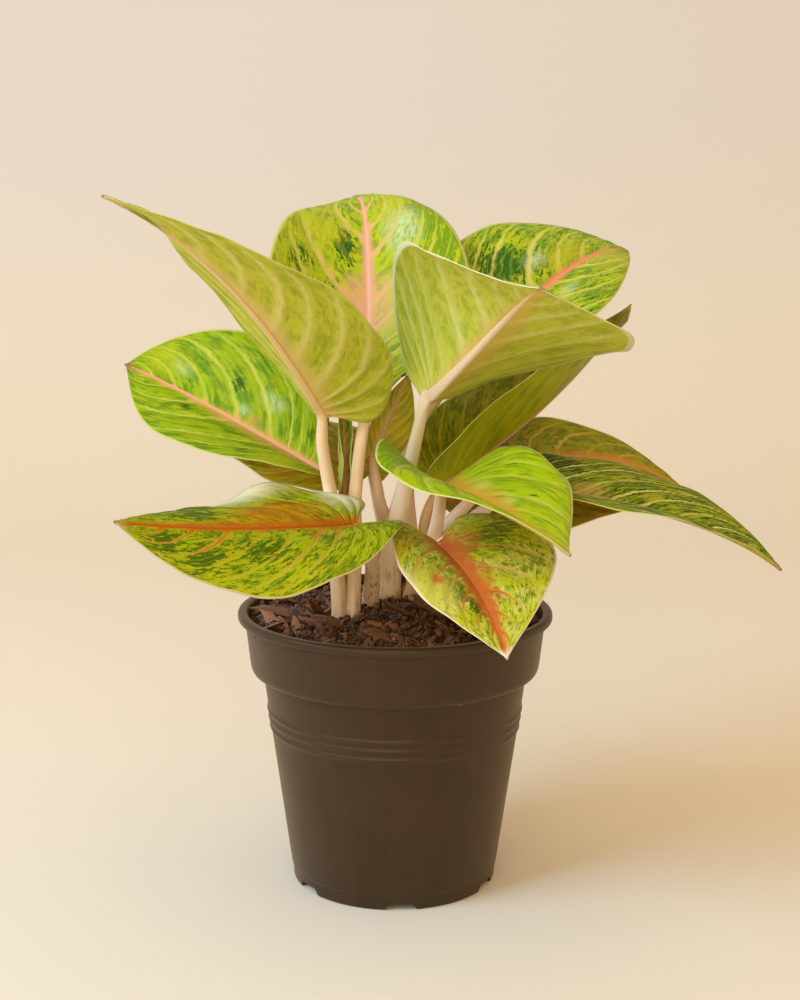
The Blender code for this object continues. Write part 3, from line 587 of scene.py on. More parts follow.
leafLooks = {
    "upper_left": dict(
        back=(0.53, 0.53, 0.045), backGreen=(0.31, 0.38, 0.010), backVein=(0.70, 0.64, 0.20),
        backBleed=(0.72, 0.50, 0.20), backCore=0.9, backHalo=0.65, backReach=(0.9, 0.9),
        # stem and stemFoot are darker here as painted shade on the stalk
        ridge=(0.76, 0.54, 0.26), stem=(0.83, 0.60, 0.36), stemFoot=(0.66, 0.43, 0.22),
        tip=(0.60, 0.50, 0.22), green=(0.10, 0.17, 0.008),
        spots=dict(backDark=((0.2, 15.6, 0.7, 1.3, 0.9),))),
    "top": dict(
        lime=(0.42, 0.50, 0.004), yellow=(0.54, 0.52, 0.012), green=(0.17, 0.30, 0.003),
        dark=(0.035, 0.11, 0.003), greenShare=0.42, bleed=(0.80, 0.36, 0.20), bleedReach=(0.4, 0.5),
        bleedFade=(0.4, 0.85), bleedShare=0.9, rib=(0.84, 0.44, 0.30), ribWidth=0.2, veinRed=0.6,
        # stem and stemFoot are darker here as painted shade on the stalk
        stem=(0.83, 0.60, 0.36), stemFoot=(0.66, 0.43, 0.22), grain=(1.6, 3.0),
        # the second and third dark spots are painted shadow, cast by upper_left along its edge
        spots=dict(dark=((-1.2, 9.6, 0.7, 2.0, 0.9), (-3.9, 7.6, 0.9, 0.9, 0.8),
        (-2.0, 6.4, 0.5, 0.8, 0.8)), paintedGlare=((2.0, 10.2, 1.1, 1.9, 0.95),),
        bleed=((-0.7, 6.3, 0.8, 1.2, 0.6), (0.9, 5.4, 0.7, 2.0, 0.5)),
        yellow=((-2.6, 10.4, 1.3, 1.2, 0.5), (1.4, 12.6, 0.8, 1.4, 0.5), (2.2, 6.0, 1.2, 2.0, 0.7)),
        green=((3.6, 10.6, 1.2, 2.2, 0.5), (4.2, 8.5, 0.6, 1.3, 0.5)))),
    "upper_front": dict(
        back=(0.56, 0.56, 0.06), backGreen=(0.36, 0.41, 0.02), backVein=(0.70, 0.68, 0.24),
        backBleed=(0.70, 0.44, 0.12), backReach=(1.5, 0.7), greenShare=0.3, ridge=(0.82, 0.62, 0.42),
        # stem and stemFoot are paler here as painted light on the stalk
        edge=0.945, margin=(0.76, 0.72, 0.42), stem=(0.90, 0.74, 0.54), stemFoot=(0.94, 0.76, 0.50)),
    "top_right": dict(
        lime=(0.44, 0.52, 0.006), yellow=(0.54, 0.49, 0.012), green=(0.17, 0.34, 0.006),
        dark=(0.035, 0.13, 0.005), vein=(0.66, 0.64, 0.16), greenShare=0.56, darkShare=0.34, halo=0.5,
        core=0.85, haloWidth=0.15, grain=(1.8, 3.4), bleed=(0.72, 0.28, 0.06), bleedReach=(0.4, 0.35),
        rib=(0.80, 0.28, 0.17), ribWidth=0.24, spots=dict(dark=((-2.6, 6.6, 1.3, 1.3, 0.8),
        (-1.4, 8.0, 0.8, 1.2, 0.5)), paintedGlare=((-1.6, 8.3, 0.5, 0.9, 0.8), (1.2, 7.6, 0.4, 0.8, 0.6)),
        yellow=((-0.9, 10.5, 0.7, 2.4, 0.6), (1.0, 12.6, 1.2, 2.2, 0.5)))),
    "middle_left": dict(
        lime=(0.29, 0.39, 0.002), yellow=(0.40, 0.42, 0.005), green=(0.11, 0.23, 0.002),
        vein=(0.54, 0.55, 0.08), greenShare=0.5, darkShare=0.06, soft=0.07, grain=(1.0, 3.0), gloss=0.5,
        # stem and stemFoot are darker here as painted shade on the stalk
        shine=0.06, stem=(0.78, 0.55, 0.27), stemFoot=(0.66, 0.40, 0.19), bleed=(0.68, 0.34, 0.08),
        bleedReach=(0.8, 0.4), bleedFade=(0.3, 0.7), rib=(0.68, 0.34, 0.19), ribWidth=0.24,
        ridge=(0.72, 0.46, 0.28), tip=(0.30, 0.16, 0.05), spots=dict(dark=((1.8, 7.4, 0.6, 0.6, 1.0),
        (1.5, 1.9, 0.5, 0.5, 0.8), (-1.0, 9.0, 0.4, 0.5, 0.9), (-2.6, 3.6, 0.5, 0.5, 0.7),
        (0.2, 11.2, 0.25, 0.5, 1.0), (-0.7, 12.6, 0.4, 0.8, 0.6)), paintedGlare=((1.9, 4.9, 0.5, 0.9, 0.5),
        (0.8, 6.1, 0.3, 0.5, 0.5), (1.2, 11.0, 0.4, 0.8, 0.35)), yellow=((-2.2, 1.8, 1.5, 1.0, 0.7),
        (1.2, 12.5, 1.0, 1.6, 0.6)), bleed=((0.6, 5.3, 0.3, 0.5, 0.4),))),
    "low_left": dict(
        lime=(0.38, 0.42, 0.003), yellow=(0.46, 0.40, 0.006), green=(0.15, 0.24, 0.003),
        dark=(0.06, 0.12, 0.003), vein=(0.50, 0.38, 0.05), greenShare=0.42, darkShare=0.38, halo=0.6,
        core=0.4, haloWidth=0.17, shine=0.07, even=0.15, bleed=(0.52, 0.12, 0.006), bleedShare=0.85,
        bleedReach=(0.3, 0.7), bleedFade=(0.45, 0.95), veinRed=0.9, rib=(0.48, 0.085, 0.006),
        ribWidth=0.14, margin=(0.60, 0.50, 0.18), ridge=(0.62, 0.20, 0.04), fleck=1.0,
        back=(0.60, 0.57, 0.22), backVein=(0.68, 0.64, 0.34), stemFoot=(0.72, 0.44, 0.22),
        spots=dict(bleed=((-0.7, 2.0, 0.8, 1.6, 0.4), (1.4, 4.0, 1.0, 2.8, 0.6)),
        green=((2.0, 4.8, 0.5, 0.8, 0.9), (2.6, 8.2, 1.0, 2.4, 0.9)), dark=((2.2, 3.0, 0.4, 0.6, 0.8),
        (2.6, 8.8, 0.6, 1.6, 0.7), (-1.9, 6.4, 0.8, 1.2, 0.5), (-1.8, 9.4, 0.7, 0.9, 0.6),
        (-0.9, 11.0, 0.6, 0.8, 0.6), (1.3, 8.6, 0.6, 1.6, 0.6)), pale=((2.6, -0.6, 1.6, 1.4, 1.0),
        (3.8, 5.0, 0.9, 3.2, 1.0)))),
    "low_front": dict(
        lime=(0.50, 0.49, 0.010), yellow=(0.70, 0.62, 0.12), green=(0.24, 0.29, 0.003),
        dark=(0.07, 0.12, 0.003), vein=(0.64, 0.34, 0.08), greenShare=0.4, darkShare=0.28, halo=0.3,
        core=0.6, haloWidth=0.12, grain=(2.6, 3.4), bleed=(0.58, 0.125, 0.024), bleedShare=0.95,
        bleedReach=(0.95, 0.75), bleedFade=(0.5, 0.9), veinRed=1.0, rib=(0.64, 0.18, 0.06),
        ribWidth=0.09, margin=(0.78, 0.62, 0.38), tip=(0.80, 0.64, 0.44), ridge=(0.72, 0.34, 0.20),
        spots=dict(dark=((1.1, 6.1, 0.5, 0.9, 0.8), (0.6, 7.2, 0.4, 0.7, 0.9),
        (-2.4, 1.6, 1.2, 1.4, 0.4)), bleed=((0.6, 1.0, 0.9, 1.2, 0.6), (1.9, 5.0, 0.35, 0.5, 0.8),
        (-1.0, 1.0, 1.0, 1.2, 0.5)), green=((-2.2, 1.8, 1.6, 2.0, 0.7),),
        yellow=((2.2, 6.0, 1.2, 2.0, 0.5),), margin=((3.3, 6.0, 0.4, 2.0, 0.4),))),
    "middle_front": dict(
        lime=(0.41, 0.54, 0.003), yellow=(0.54, 0.54, 0.008), green=(0.19, 0.36, 0.002),
        greenShare=0.44, darkShare=0.04, shine=0.05, grain=(0.9, 4.0), soft=0.07,
        bleed=(0.72, 0.36, 0.045), bleedShare=0.9, bleedReach=(1.3, 0.8), bleedFade=(0.35, 0.8),
        rib=(0.74, 0.36, 0.07), ribWidth=0.22, margin=(0.64, 0.64, 0.24), ridge=(0.72, 0.44, 0.12),
        vein=(0.60, 0.62, 0.10), spots=dict(vein=((-1.1, 3.4, 0.5, 0.7, 0.7),
        (-1.0, 6.5, 0.5, 0.6, 0.7)), dark=((-1.1, 5.5, 0.4, 0.5, 0.9), (-2.4, 6.6, 0.4, 0.5, 0.7),
        (-3.2, 2.6, 0.4, 0.8, 0.6)), green=((3.4, 1.5, 1.4, 3.0, 0.8),))),
    "right_back": dict(
        lime=(0.32, 0.32, 0.003), yellow=(0.48, 0.33, 0.008), green=(0.14, 0.20, 0.002),
        vein=(0.64, 0.47, 0.11), greenShare=0.5, darkShare=0.2, halo=0.3, core=0.8, shine=0.03,
        gloss=0.55, bleed=(0.64, 0.28, 0.03), bleedReach=(0.9, 0.6), bleedFade=(0.6, 1.0),
        rib=(0.66, 0.28, 0.10), ridge=(0.60, 0.30, 0.10),
        spots=dict(dark=((0.6, 4.0, 0.8, 1.6, 0.7),))),
    "far_right": dict(
        lime=(0.34, 0.38, 0.008), yellow=(0.46, 0.40, 0.02), green=(0.13, 0.22, 0.003),
        dark=(0.035, 0.08, 0.002), vein=(0.82, 0.70, 0.27), greenShare=0.6, darkShare=0.4, halo=0.3,
        core=1.0, haloWidth=0.13, shine=0.03, gloss=0.55, grain=(1.0, 3.6), bleed=(0.62, 0.34, 0.14),
        bleedReach=(0.35, 0.35), bleedFade=(0.3, 0.6), rib=(0.56, 0.42, 0.14), tip=(0.42, 0.24, 0.10),
        ridge=(0.50, 0.38, 0.14), spots=dict(bleed=((-0.8, 3.8, 0.6, 0.9, 0.5),),
        dark=((-3.2, 1.8, 1.2, 1.2, 0.8),))),
    "centre_right": dict(
        lime=(0.29, 0.29, 0.003), yellow=(0.36, 0.29, 0.005), green=(0.13, 0.165, 0.003),
        dark=(0.05, 0.075, 0.002), vein=(0.42, 0.34, 0.03), greenShare=0.55, darkShare=0.25, halo=0.35,
        core=0.25, bleed=(0.40, 0.20, 0.012), shine=0.04, bleedReach=(0.5, 0.4), rib=(0.44, 0.24, 0.05),
        ribWidth=0.12, margin=(0.54, 0.48, 0.12), back=(0.40, 0.42, 0.003),
        backGreen=(0.19, 0.29, 0.002), backVein=(0.50, 0.48, 0.04), backHalo=0.3, backCore=0.15,
        backBleed=(0.46, 0.26, 0.02), backReach=(0.4, 0.4), ridge=(0.46, 0.28, 0.10),
        stem=(0.66, 0.42, 0.18), stemFoot=(0.56, 0.34, 0.13)),
    "centre": dict(
        back=(0.42, 0.34, 0.006), backGreen=(0.26, 0.26, 0.004), backHalo=0.2, backCore=0.15,
        backReach=(0.3, 0.3), ridge=(0.52, 0.34, 0.12), stem=(0.60, 0.40, 0.22)),
    "new": dict(
        lime=(0.34, 0.36, 0.03), vein=(0.60, 0.56, 0.26), greenShare=0.5, darkShare=0.35,
        back=(0.36, 0.37, 0.05), backGreen=(0.10, 0.17, 0.01), ridge=(0.62, 0.55, 0.34),
        # stem is darker here as painted shade on the stalk
        stem=(0.60, 0.50, 0.30)),
    "left_back": dict(
        lime=(0.42, 0.30, 0.008), green=(0.20, 0.19, 0.004), back=(0.46, 0.30, 0.012),
        backGreen=(0.28, 0.20, 0.006), rib=(0.50, 0.26, 0.10), ridge=(0.50, 0.28, 0.10)),
    "right_low": dict(
        lime=(0.30, 0.20, 0.010), yellow=(0.40, 0.22, 0.02), green=(0.15, 0.14, 0.006),
        vein=(0.42, 0.26, 0.06), rib=(0.48, 0.22, 0.06), bleed=(0.42, 0.18, 0.03),
        back=(0.56, 0.34, 0.015), backGreen=(0.36, 0.26, 0.008), shine=0.03, ridge=(0.56, 0.30, 0.08),
        stem=(0.54, 0.28, 0.08)),
}


class LeafShading(Shading):
    # adds the places and patterns that both faces of a blade share

    def __init__(self, face, name, number):
        super().__init__(face + "_" + name)
        self.look = {**lookUsual, **leafLooks[name]}
        vein = self.attribute("veinPlace").outputs["Vector"]
        self.flat = self.attribute("bladePlace").outputs["Vector"]
        self.aside, ahead, self.across = self.split(self.flat)[:3]
        length = {**leafUsual, **leafShapes[name]}["length"] / 10
        self.part = self.scaled(ahead, 1 / length)
        self.beside = self.math("ABSOLUTE", self.aside)
        shift = (number * 7.3, number * 3.1, 0)
        out, on = self.look["grain"]

        def pattern(vector, scale, *detail):
            return self.noise(self.stretch(vector, scale, shift), 1, *detail)

        self.blotch = pattern(self.flat, (0.7, 0.7, 0), 2)
        self.mottle = pattern(vein, (out, on, 0), 5, 0.74)
        self.dash = pattern(vein, (1.8 * out, 2 * on, 0), 4, 0.68)
        self.speck = pattern(vein, (12.0, 18.0, 0), 3, 0.65)
        self.chance = pattern(vein, (0.08, 0, 1.1), 0)
        wobble = pattern(self.flat, (1.4, 1.4, 0), 1)
        self.count = self.scaled(wobble, 0.24, self.split(vein)[2])

    def patchy(self, share):
        # lets a pattern come and go along the blade, and from vein to vein
        share = self.scaled(share, self.band(self.chance, 0.40, 0.56, self.look["even"], 1))
        return self.scaled(share, self.band(self.blotch, 0.32, 0.58, 0.45, 1))

    def veins(self, low, high, many=1):
        count = self.scaled(self.count, many) if many > 1 else self.count
        near = self.math("PINGPONG", self.math("ADD", count, -0.12 * many), 0.5)
        return self.scaled(self.band(near, low, high, 1, 0), self.band(self.across, 0.7, 1.0, 1, 0.3))

    def spot(self, aside, ahead, halfWidth, halfLength, strength):
        scale = (1 / halfWidth, 1 / halfLength, 0)
        shift = (-aside / halfWidth, -ahead / halfLength, 0)
        away = self.node("VectorMath", (self.stretch(self.flat, scale, shift),), operation="LENGTH")
        ragged = self.scaled(self.mottle, -1.6, away.outputs["Value"])
        return self.band(ragged, -0.5, 0.6, strength, 0)

    def spots(self, kind):
        shares = [self.spot(*spot) for spot in self.look["spots"].get(kind, ())]
        # painted glare: these spots are broken into streaks along the veins
        if kind == "paintedGlare":
            streak = self.band(self.dash, 0.40, 0.58, 0.2, 1)
            shares = [self.scaled(share, streak) for share in shares]
        return shares

    def laySpots(self, *kinds):
        for kind in kinds:
            for spot in self.spots(kind):
                self.over(spot, self.look[kind])

    def toRib(self, reach, fade):
        # a ragged share that is full at the midrib and runs out along the veins
        edge = self.scaled(self.band(self.aside, -0.02, 0.02, *reach), self.scaled(self.mottle, 1.8, 0.1))
        edge = self.scaled(edge, self.band(self.part, *fade, 1, 0.3))
        edge = self.scaled(self.veins(0.0, 0.16), 0.3, edge)
        return self.band(self.math("DIVIDE", self.beside, edge), 0.25, 1.3, 1, 0.0)


def leafUpper(name, number):
    s = LeafShading("leafUpper", name, number)
    look = s.look
    halo, core = s.veins(0.02, look["haloWidth"]), s.veins(0.015, 0.065)
    clear = s.scaled(halo, -0.07)
    field = s.scaled(s.blotch, 0.3, s.scaled(s.mottle, 0.7, clear))
    darkField = s.scaled(s.dash, 0.55, s.scaled(s.speck, 0.25, clear))
    darkField = s.scaled(s.mottle, 0.2, darkField)
    for spot in s.spots("green"):
        field = s.scaled(spot, 0.14, field)
    for spot in s.spots("dark"):
        darkField = s.scaled(spot, 0.15, darkField)
    greenEdge = 0.5 + (0.5 - look["greenShare"]) * 0.22
    darkEdge = 0.5 + (0.5 - look["darkShare"]) * 0.24
    soft = look["soft"]
    s.colour = look["lime"]
    s.over(s.band(s.blotch, 0.38, 0.66), look["yellow"])
    s.over(s.band(field, greenEdge - soft, greenEdge + soft), look["green"])
    s.over(s.band(s.speck, 0.5, 0.68), look["green"], 0.35)
    s.over(s.band(s.speck, 0.32, 0.46, 1, 0), look["yellow"], 0.25)
    s.over(s.band(darkField, darkEdge - soft / 2, darkEdge + soft / 2), look["dark"])
    # the sheen spots laid here are painted glare
    s.laySpots("yellow", "vein", "margin", "paintedGlare")
    s.over(s.veins(0.0, 0.3, 4), look["vein"], 0.16)
    s.over(s.patchy(halo), look["vein"], look["halo"])
    s.over(s.patchy(core), look["vein"], look["core"])
    s.over(s.patchy(s.veins(0.02, 0.11)), look["bleed"],
           s.band(s.across, 0.15, 0.85, look["veinRed"], 0))
    s.laySpots("bleed")
    s.over(s.toRib(look["bleedReach"], look["bleedFade"]), look["bleed"], look["bleedShare"])
    # the midrib: paler along its middle, deeper at its edges
    ribWidth = s.scaled(s.part, -0.75 * look["ribWidth"], look["ribWidth"])
    onRib = s.math("DIVIDE", s.beside, ribWidth)
    deep = tuple(0.75 * a + 0.25 * b for a, b in zip(look["bleed"], look["rib"]))
    s.over(s.band(onRib, 0.9, 1.25, 0.8, 0), deep)
    s.over(s.band(onRib, 0.45, 0.95, 1, 0), look["rib"])
    s.over(s.band(onRib, 0.05, 0.2, 0.35, 0), deep)
    s.laySpots("pale")
    s.over(s.band(s.part, 0.93, 0.99), look["tip"])
    s.over(s.band(s.across, look["edge"], look["edge"] + 0.02), look["margin"])
    skin = s.noise(s.stretch(s.flat, (1, 1, 0)), 60, 3, 0.6)
    roughness = s.band(skin, 0.3, 0.7, look["gloss"] - 0.05, look["gloss"] + 0.08)
    return s.finish(roughness, skin, 0.00004, Specular_IOR_Level=look["shine"])


def leafBack(name, number):
    s = LeafShading("leafBack", name, number)
    look = s.look
    green, vein = look["backGreen"], look["backVein"]
    halo, core = s.veins(0.03, 0.3), s.veins(0.02, 0.08)
    field = s.scaled(s.blotch, 0.4, s.scaled(s.mottle, 0.6))
    s.colour = look["back"]
    s.over(s.band(s.scaled(halo, -0.05, field), 0.44, 0.58), green, 0.85)
    s.over(s.band(s.mottle, 0.56, 0.62, 0, 0.55), green)
    s.over(s.band(s.dash, 0.61, 0.68, 0, 0.6), tuple(0.55 * value for value in green))
    s.over(s.patchy(halo), vein, look["backHalo"])
    s.over(s.patchy(core), vein, look["backCore"])
    s.over(s.veins(0.0, 0.4, 3), vein, 0.12)
    s.over(s.toRib(look["backReach"], (0.3, 0.9)), look["backBleed"], 0.75)
    s.over(s.band(s.part, 0.93, 0.99), look["tip"])
    for spot in s.spots("backDark"):
        s.over(spot, look["green"])
    s.over(s.band(s.across, look["edge"], look["edge"] + 0.02), look["margin"])
    skin = s.noise(s.stretch(s.flat, (1, 1, 0)), 45, 3, 0.6)
    return s.finish(s.band(skin, 0.3, 0.7, 0.5, 0.62), skin, 0.00005, Specular_IOR_Level=0.1)


def stalkSkin(name, number):
    look = {**lookUsual, **leafLooks[name]}
    s = Shading("stalkSkin_" + name)
    along, place = s.attribute("along").outputs["Fac"], s.place()
    tone = s.noise(s.stretch(place, (300, 300, 22), (number, 0, 0)), 1, 3, 0.6)
    cloud = s.noise(s.stretch(place, (60, 60, 40), (0, number, 0)), 1, 2)
    spots = s.noise(s.stretch(place, (420, 420, 120), (number, 0, 0)), 1, 2, 0.5)
    pale = tuple(min(0.95, 0.14 + 0.94 * value) for value in look["stem"])
    # stem and stemFoot hold painted shade for some stalks and painted light for others, set leaf by leaf
    s.colour = look["stemFoot"]
    s.over(s.band(along, 0.0, 0.55), look["stem"])
    s.over(s.band(tone, 0.4, 0.7, 0, 0.5), pale)
    s.over(s.band(cloud, 0.4, 0.65, 0, 0.45), look["stemFoot"])
    fleck = s.scaled(s.band(spots, 0.60, 0.66), look["fleck"])
    s.over(fleck, (0.13, 0.05, 0.012), s.band(along, 0.35, 0.85, 1, 0))
    s.over(s.band(along, 0.85, 1.10), look["ridge"])
    s.over(s.band(along, 1.5, 1.9, 0, 0.7), look["back"])
    return s.finish(0.42, tone, 0.0001)


print("leaves")
for number, name in enumerate(leafShapes):
    makeBlade(name, number, [leafUpper(name, number), leafBack(name, number)])
stalks = {name: makeStalk(name, number, [stalkSkin(name, number)])
          for number, name in enumerate(leafShapes)}
for crown, names in crownLeaves.items():
    for name in names:
        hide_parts(crown)


# Pot: its section is turned round the Z axis, in millimetres; corners are (radius, height,
# rounding). The ribs fade out across two plain panels, at angles from the front.
pot = dict(segments=144, height=146.0, lipRadius=82.5, lipInner=77.4, lipFoot=141.6,
           collarTop=78.8, collarFoot=75.6, collarHeight=113.4, collarRound=4.6, bodyTop=69.6,
           bodyFoot=54.6, bodyLow=5.0, wall=1.5, ribs=(83.8, 88.6, 93.4), ribRelief=0.8,
           ribWidth=1.15, ribZone=(79.0, 98.0), ribNear=0.3, panels=((33, 57), (213, 237)),
           panelFade=7.0, footRadius=53.9, footHeight=7.5, footInner=48.0, underside=4.6,
           floorTop=6.4, padRadius=14.0, slope=0.8, notches=6, notchTurn=-86.0, notchTop=12.4,
           notchFoot=18.4, notchHeight=3.8, notchPast=4.0, drains=6, drainRadius=4.5,
           drainCircle=32.0, drainMiddle=5.5, drainDepth=12.0, rowStep=0.6, sharpAngle=38)


def wallRadius(z):
    part = (z - pot["bodyLow"]) / (pot["collarHeight"] - pot["bodyLow"])
    return pot["bodyFoot"] + part * (pot["bodyTop"] - pot["bodyFoot"])


def roundCorners(corners, steps=6):
    # an outline through (radius, height, rounding) corners, each one eased into a curve
    line = []
    for k, (r, z, rounding) in enumerate(corners):
        here = np.array([r, z])
        if rounding == 0 or k in (0, len(corners) - 1):
            line.append(here)
            continue
        before, after = (np.array(corners[j][:2]) - here for j in (k - 1, k + 1))
        before *= min(rounding, np.linalg.norm(before) / 2) / np.linalg.norm(before)
        after *= min(rounding, np.linalg.norm(after) / 2) / np.linalg.norm(after)
        for t in np.linspace(0, 1, steps):
            line.append(here + before * (1 - t) ** 2 + after * t ** 2)
    return line


def turnProfile(line, segments):
    # an outline that starts and ends on the Z axis, spun round it in edit mode
    mesh = bpy.data.meshes.new("section")
    points = [(r * mm, 0, z * mm) for r, z in line]
    mesh.from_pydata(points, [(k, k + 1) for k in range(len(points) - 1)], [])
    piece = bpy.data.objects.new("section", mesh)
    bpy.context.scene.collection.objects.link(piece)

    def spin():
        bpy.ops.mesh.spin(steps=segments, angle=turn, center=(0, 0, 0), axis=(0, 0, 1))
        bpy.ops.mesh.select_all(action="SELECT")

    editMesh(piece, spin, weld, faceOut)
    return piece


def cutNotch(number):
    # a prism across the foot ring, wider at the floor
    bpy.ops.mesh.primitive_cube_add(size=2)
    cutter = bpy.context.object
    places = readPlaces(cutter)
    width = np.where(places[:, 2] > 0, pot["notchTop"], pot["notchFoot"]) / 2
    x = np.where(places[:, 0] > 0, pot["footRadius"] + pot["notchPast"],
                 pot["footInner"] - pot["notchPast"])
    z = np.where(places[:, 2] > 0, pot["notchHeight"], -1.0)
    angle = math.radians(pot["notchTurn"]) + turn * number / pot["notches"]
    y = places[:, 1] * width
    setPlaces(cutter, np.stack([x * math.cos(angle) - y * math.sin(angle),
                                x * math.sin(angle) + y * math.cos(angle), z], -1) * mm)
    return cutter


def cutDrain(number):
    angle = turn * (number + 0.5) / pot["drains"]
    selectOnly()
    bpy.ops.mesh.primitive_cylinder_add(vertices=32, radius=pot["drainRadius"] * mm,
                                        depth=pot["drainDepth"] * mm)
    cutter = bpy.context.object
    circle = pot["drainCircle"]
    middle = (circle * math.cos(angle), circle * math.sin(angle), pot["drainMiddle"])
    setPlaces(cutter, readPlaces(cutter) + np.array(middle) * mm)
    return cutter


def innerWall(top, gap):
    # the inside of the pot from a height down to the middle of its floor, moved in by gap
    inset, step = pot["wall"] + gap, pot["collarHeight"] + pot["wall"]
    rise = (pot["collarTop"] - pot["collarFoot"]) / (pot["lipFoot"] - pot["collarHeight"])
    upper = [pot["collarFoot"] + rise * (z - pot["collarHeight"]) - inset for z in (top, step)]
    return [(upper[0], top, 0.8), (upper[1], step + gap, 1.5),
            (wallRadius(pot["collarHeight"]) - inset, step + gap, 0.8),
            (wallRadius(pot["floorTop"]) - inset, pot["floorTop"] + gap, 1.0),
            (0, pot["floorTop"] + gap, 0)]


def ribRelief(places):
    # soft ribs, flattened where the panels are
    r, z = np.hypot(places[:, 0], places[:, 1]), places[:, 2]
    low, high = pot["ribZone"]
    outer = (np.abs(r - wallRadius(z)) < pot["ribNear"]) & (z > low) & (z < high)
    relief = sum(np.exp(-((z - rib) / pot["ribWidth"]) ** 2) for rib in pot["ribs"])
    angle = np.degrees(np.arctan2(places[:, 0], -places[:, 1])) % 360
    for low, high in pot["panels"]:
        fade = pot["panelFade"]
        relief = relief * (1 - ramp(angle, low - fade, low) * (1 - ramp(angle, high, high + fade)))
    grow = 1 + np.where(outer, pot["ribRelief"] * relief, 0) / np.maximum(r, 1)
    return places * np.stack([grow, grow, np.ones_like(grow)], -1)


def makePot(material):
    foot, high = pot["footRadius"], pot["footHeight"]
    low, top = pot["ribZone"]
    corners = [(0, 0, 0), (pot["padRadius"], 0, 0.5),
               (pot["padRadius"] + pot["slope"], pot["underside"], 0.5),
               (pot["footInner"] - pot["slope"], pot["underside"], 0.5), (pot["footInner"], 0, 0.5),
               (foot, 0, 1.6), (foot + 0.35, high, 0.2), (wallRadius(high), high + 0.5, 0.5)]
    corners += [(wallRadius(z), z, 0) for z in np.arange(low, top, pot["rowStep"])]
    corners += [(pot["bodyTop"] - 0.3, pot["collarHeight"] - 1.6, 0.6),
                (pot["bodyTop"] + 0.8, pot["collarHeight"] - 0.7, 0.4),
                (pot["bodyTop"] + 1.2, pot["collarHeight"] + 0.1, 0.3),
                (pot["collarFoot"], pot["collarHeight"] + 0.3, pot["collarRound"]),
                (pot["collarTop"], pot["lipFoot"], 0.8), (pot["lipRadius"], pot["lipFoot"], 1.3),
                (pot["lipRadius"], pot["height"], 2.4), (pot["lipInner"], pot["height"], 2.2)]
    piece = turnProfile(roundCorners(corners + innerWall(pot["lipFoot"], 0)), pot["segments"])
    setPlaces(piece, ribRelief(readPlaces(piece) / mm) * mm)
    selectOnly()
    cutters = [cutNotch(k) for k in range(pot["notches"])]
    cutters += [cutDrain(k) for k in range(pot["drains"])]
    cutter = joinPieces(cutters)
    useModifier(piece, "BOOLEAN", object=cutter, operation="DIFFERENCE", solver="EXACT")
    bpy.data.objects.remove(cutter)
    selectOnly(piece)
    bpy.ops.object.shade_smooth_by_angle(angle=math.radians(pot["sharpAngle"]))
    return finishPiece(piece, "pot_moulded", [material], ["pot"])


def potPlastic():
    s = Shading("potPlastic")
    place = s.place()
    cloud = s.noise(place, 28, 3, 0.55)
    streak = s.noise(s.stretch(place, (190, 190, 14)), 1, 3, 0.6)
    grain = s.noise(place, 1500, 2, 0.5)
    scuff = s.band(s.noise(s.stretch(place, (60, 60, 420)), 1, 4, 0.7), 0.62, 0.72)
    tone = s.scaled(streak, 0.35, s.scaled(cloud, 0.65))
    s.colour = (0.020, 0.0115, 0.0055)
    s.over(s.band(tone, 0.3, 0.7), (0.031, 0.018, 0.0085))
    s.over(scuff, (0.10, 0.065, 0.035), 0.1)
    return s.finish(s.band(cloud, 0.3, 0.7, 0.42, 0.50), grain, 0.00005, Specular_IOR_Level=0.5,
                    Specular_Tint=(1.0, 0.72, 0.46, 1), Sheen_Weight=0.14, Sheen_Roughness=0.45,
                    Sheen_Tint=(1.0, 0.66, 0.38, 1))


# Potting mix: a crumbly mound with bark, grit and rootlets strewn on it. Each displacement is a
# grain in metres and a strength in millimetres; clear is the room left round each stalk's foot.
mix = dict(cells=280, edge=139.5, gap=0.3, mound=7.5, spread=42.0, lump=0.9, lumpSpan=50.0,
           lumpFade=(60.0, 72.0), field=75.0, seed=7)
displacements = ((0.017, 5.0), (0.007, 5.5), (0.0028, 3.0))
bark = dict(count=240, groups=3, clear=3.5, length=(4.0, 12.0), shorten=(0.5, 1),
            width=(0.25, 0.55), thickness=(0.10, 0.2), tilt=55.0, lift=(0.4, 1.6), bigLift=2.4)
# the big pieces that show: x, y, length, width, thickness, turn, tilt, lean
barkBig = ((-55, -5, 22, 11, 1.6, 20, 12, 10), (-40, -8, 19, 5, 1.5, 72, 38, 8),
           (-30, -33, 15, 9, 1.6, 25, 22, 14), (25, -16, 20, 11, 1.6, -18, 24, 6),
           (6, -20, 15, 8, 1.4, 15, 30, -12), (-58, 22, 15, 7, 1.6, 60, 20, 8),
           (40, -36, 14, 8, 1.4, 40, 14, -8), (-8, -45, 13, 7, 1.4, -35, 12, 6),
           (-62, -22, 13, 6, 1.5, -50, 16, 4), (40, 30, 19, 9, 1.7, 130, 16, 5),
           (-20, 52, 20, 8, 1.7, 10, 14, -6), (56, 2, 16, 8, 1.5, 85, 18, 7))
crumbs = dict(count=3600, size=(0.6, 2.6))
grit = dict(count=230, size=(0.45, 1.1))
lumpShape = dict(clear=0.5, rough=(0.7, 1.25), shrink=(0.5, 1), lift=(0.2, 0.9), broad=(0.6, 1),
                 high=(0.5, 0.9))
rootlets = dict(count=60, clear=2.5, length=(6.0, 20.0), bend=2.2, arch=(0.4, 3.2), sunk=0.5,
                radius=0.2, thicken=(0.6, 1.3), taper=0.35, steps=9, rings=14, sides=4)


def mixHeight(x, y):
    r = np.hypot(x, y)
    u, v = turn * x / mix["lumpSpan"], turn * y / mix["lumpSpan"]
    lumps = mix["lump"] * (np.sin(u + 1) * np.sin(0.9 * v) + np.sin(2.3 * u - 2.1 * v) / 2)
    mound = mix["mound"] * np.exp(-(r / mix["spread"]) ** 2)
    return mix["edge"] + mound + lumps * (1 - ramp(r, *mix["lumpFade"]))


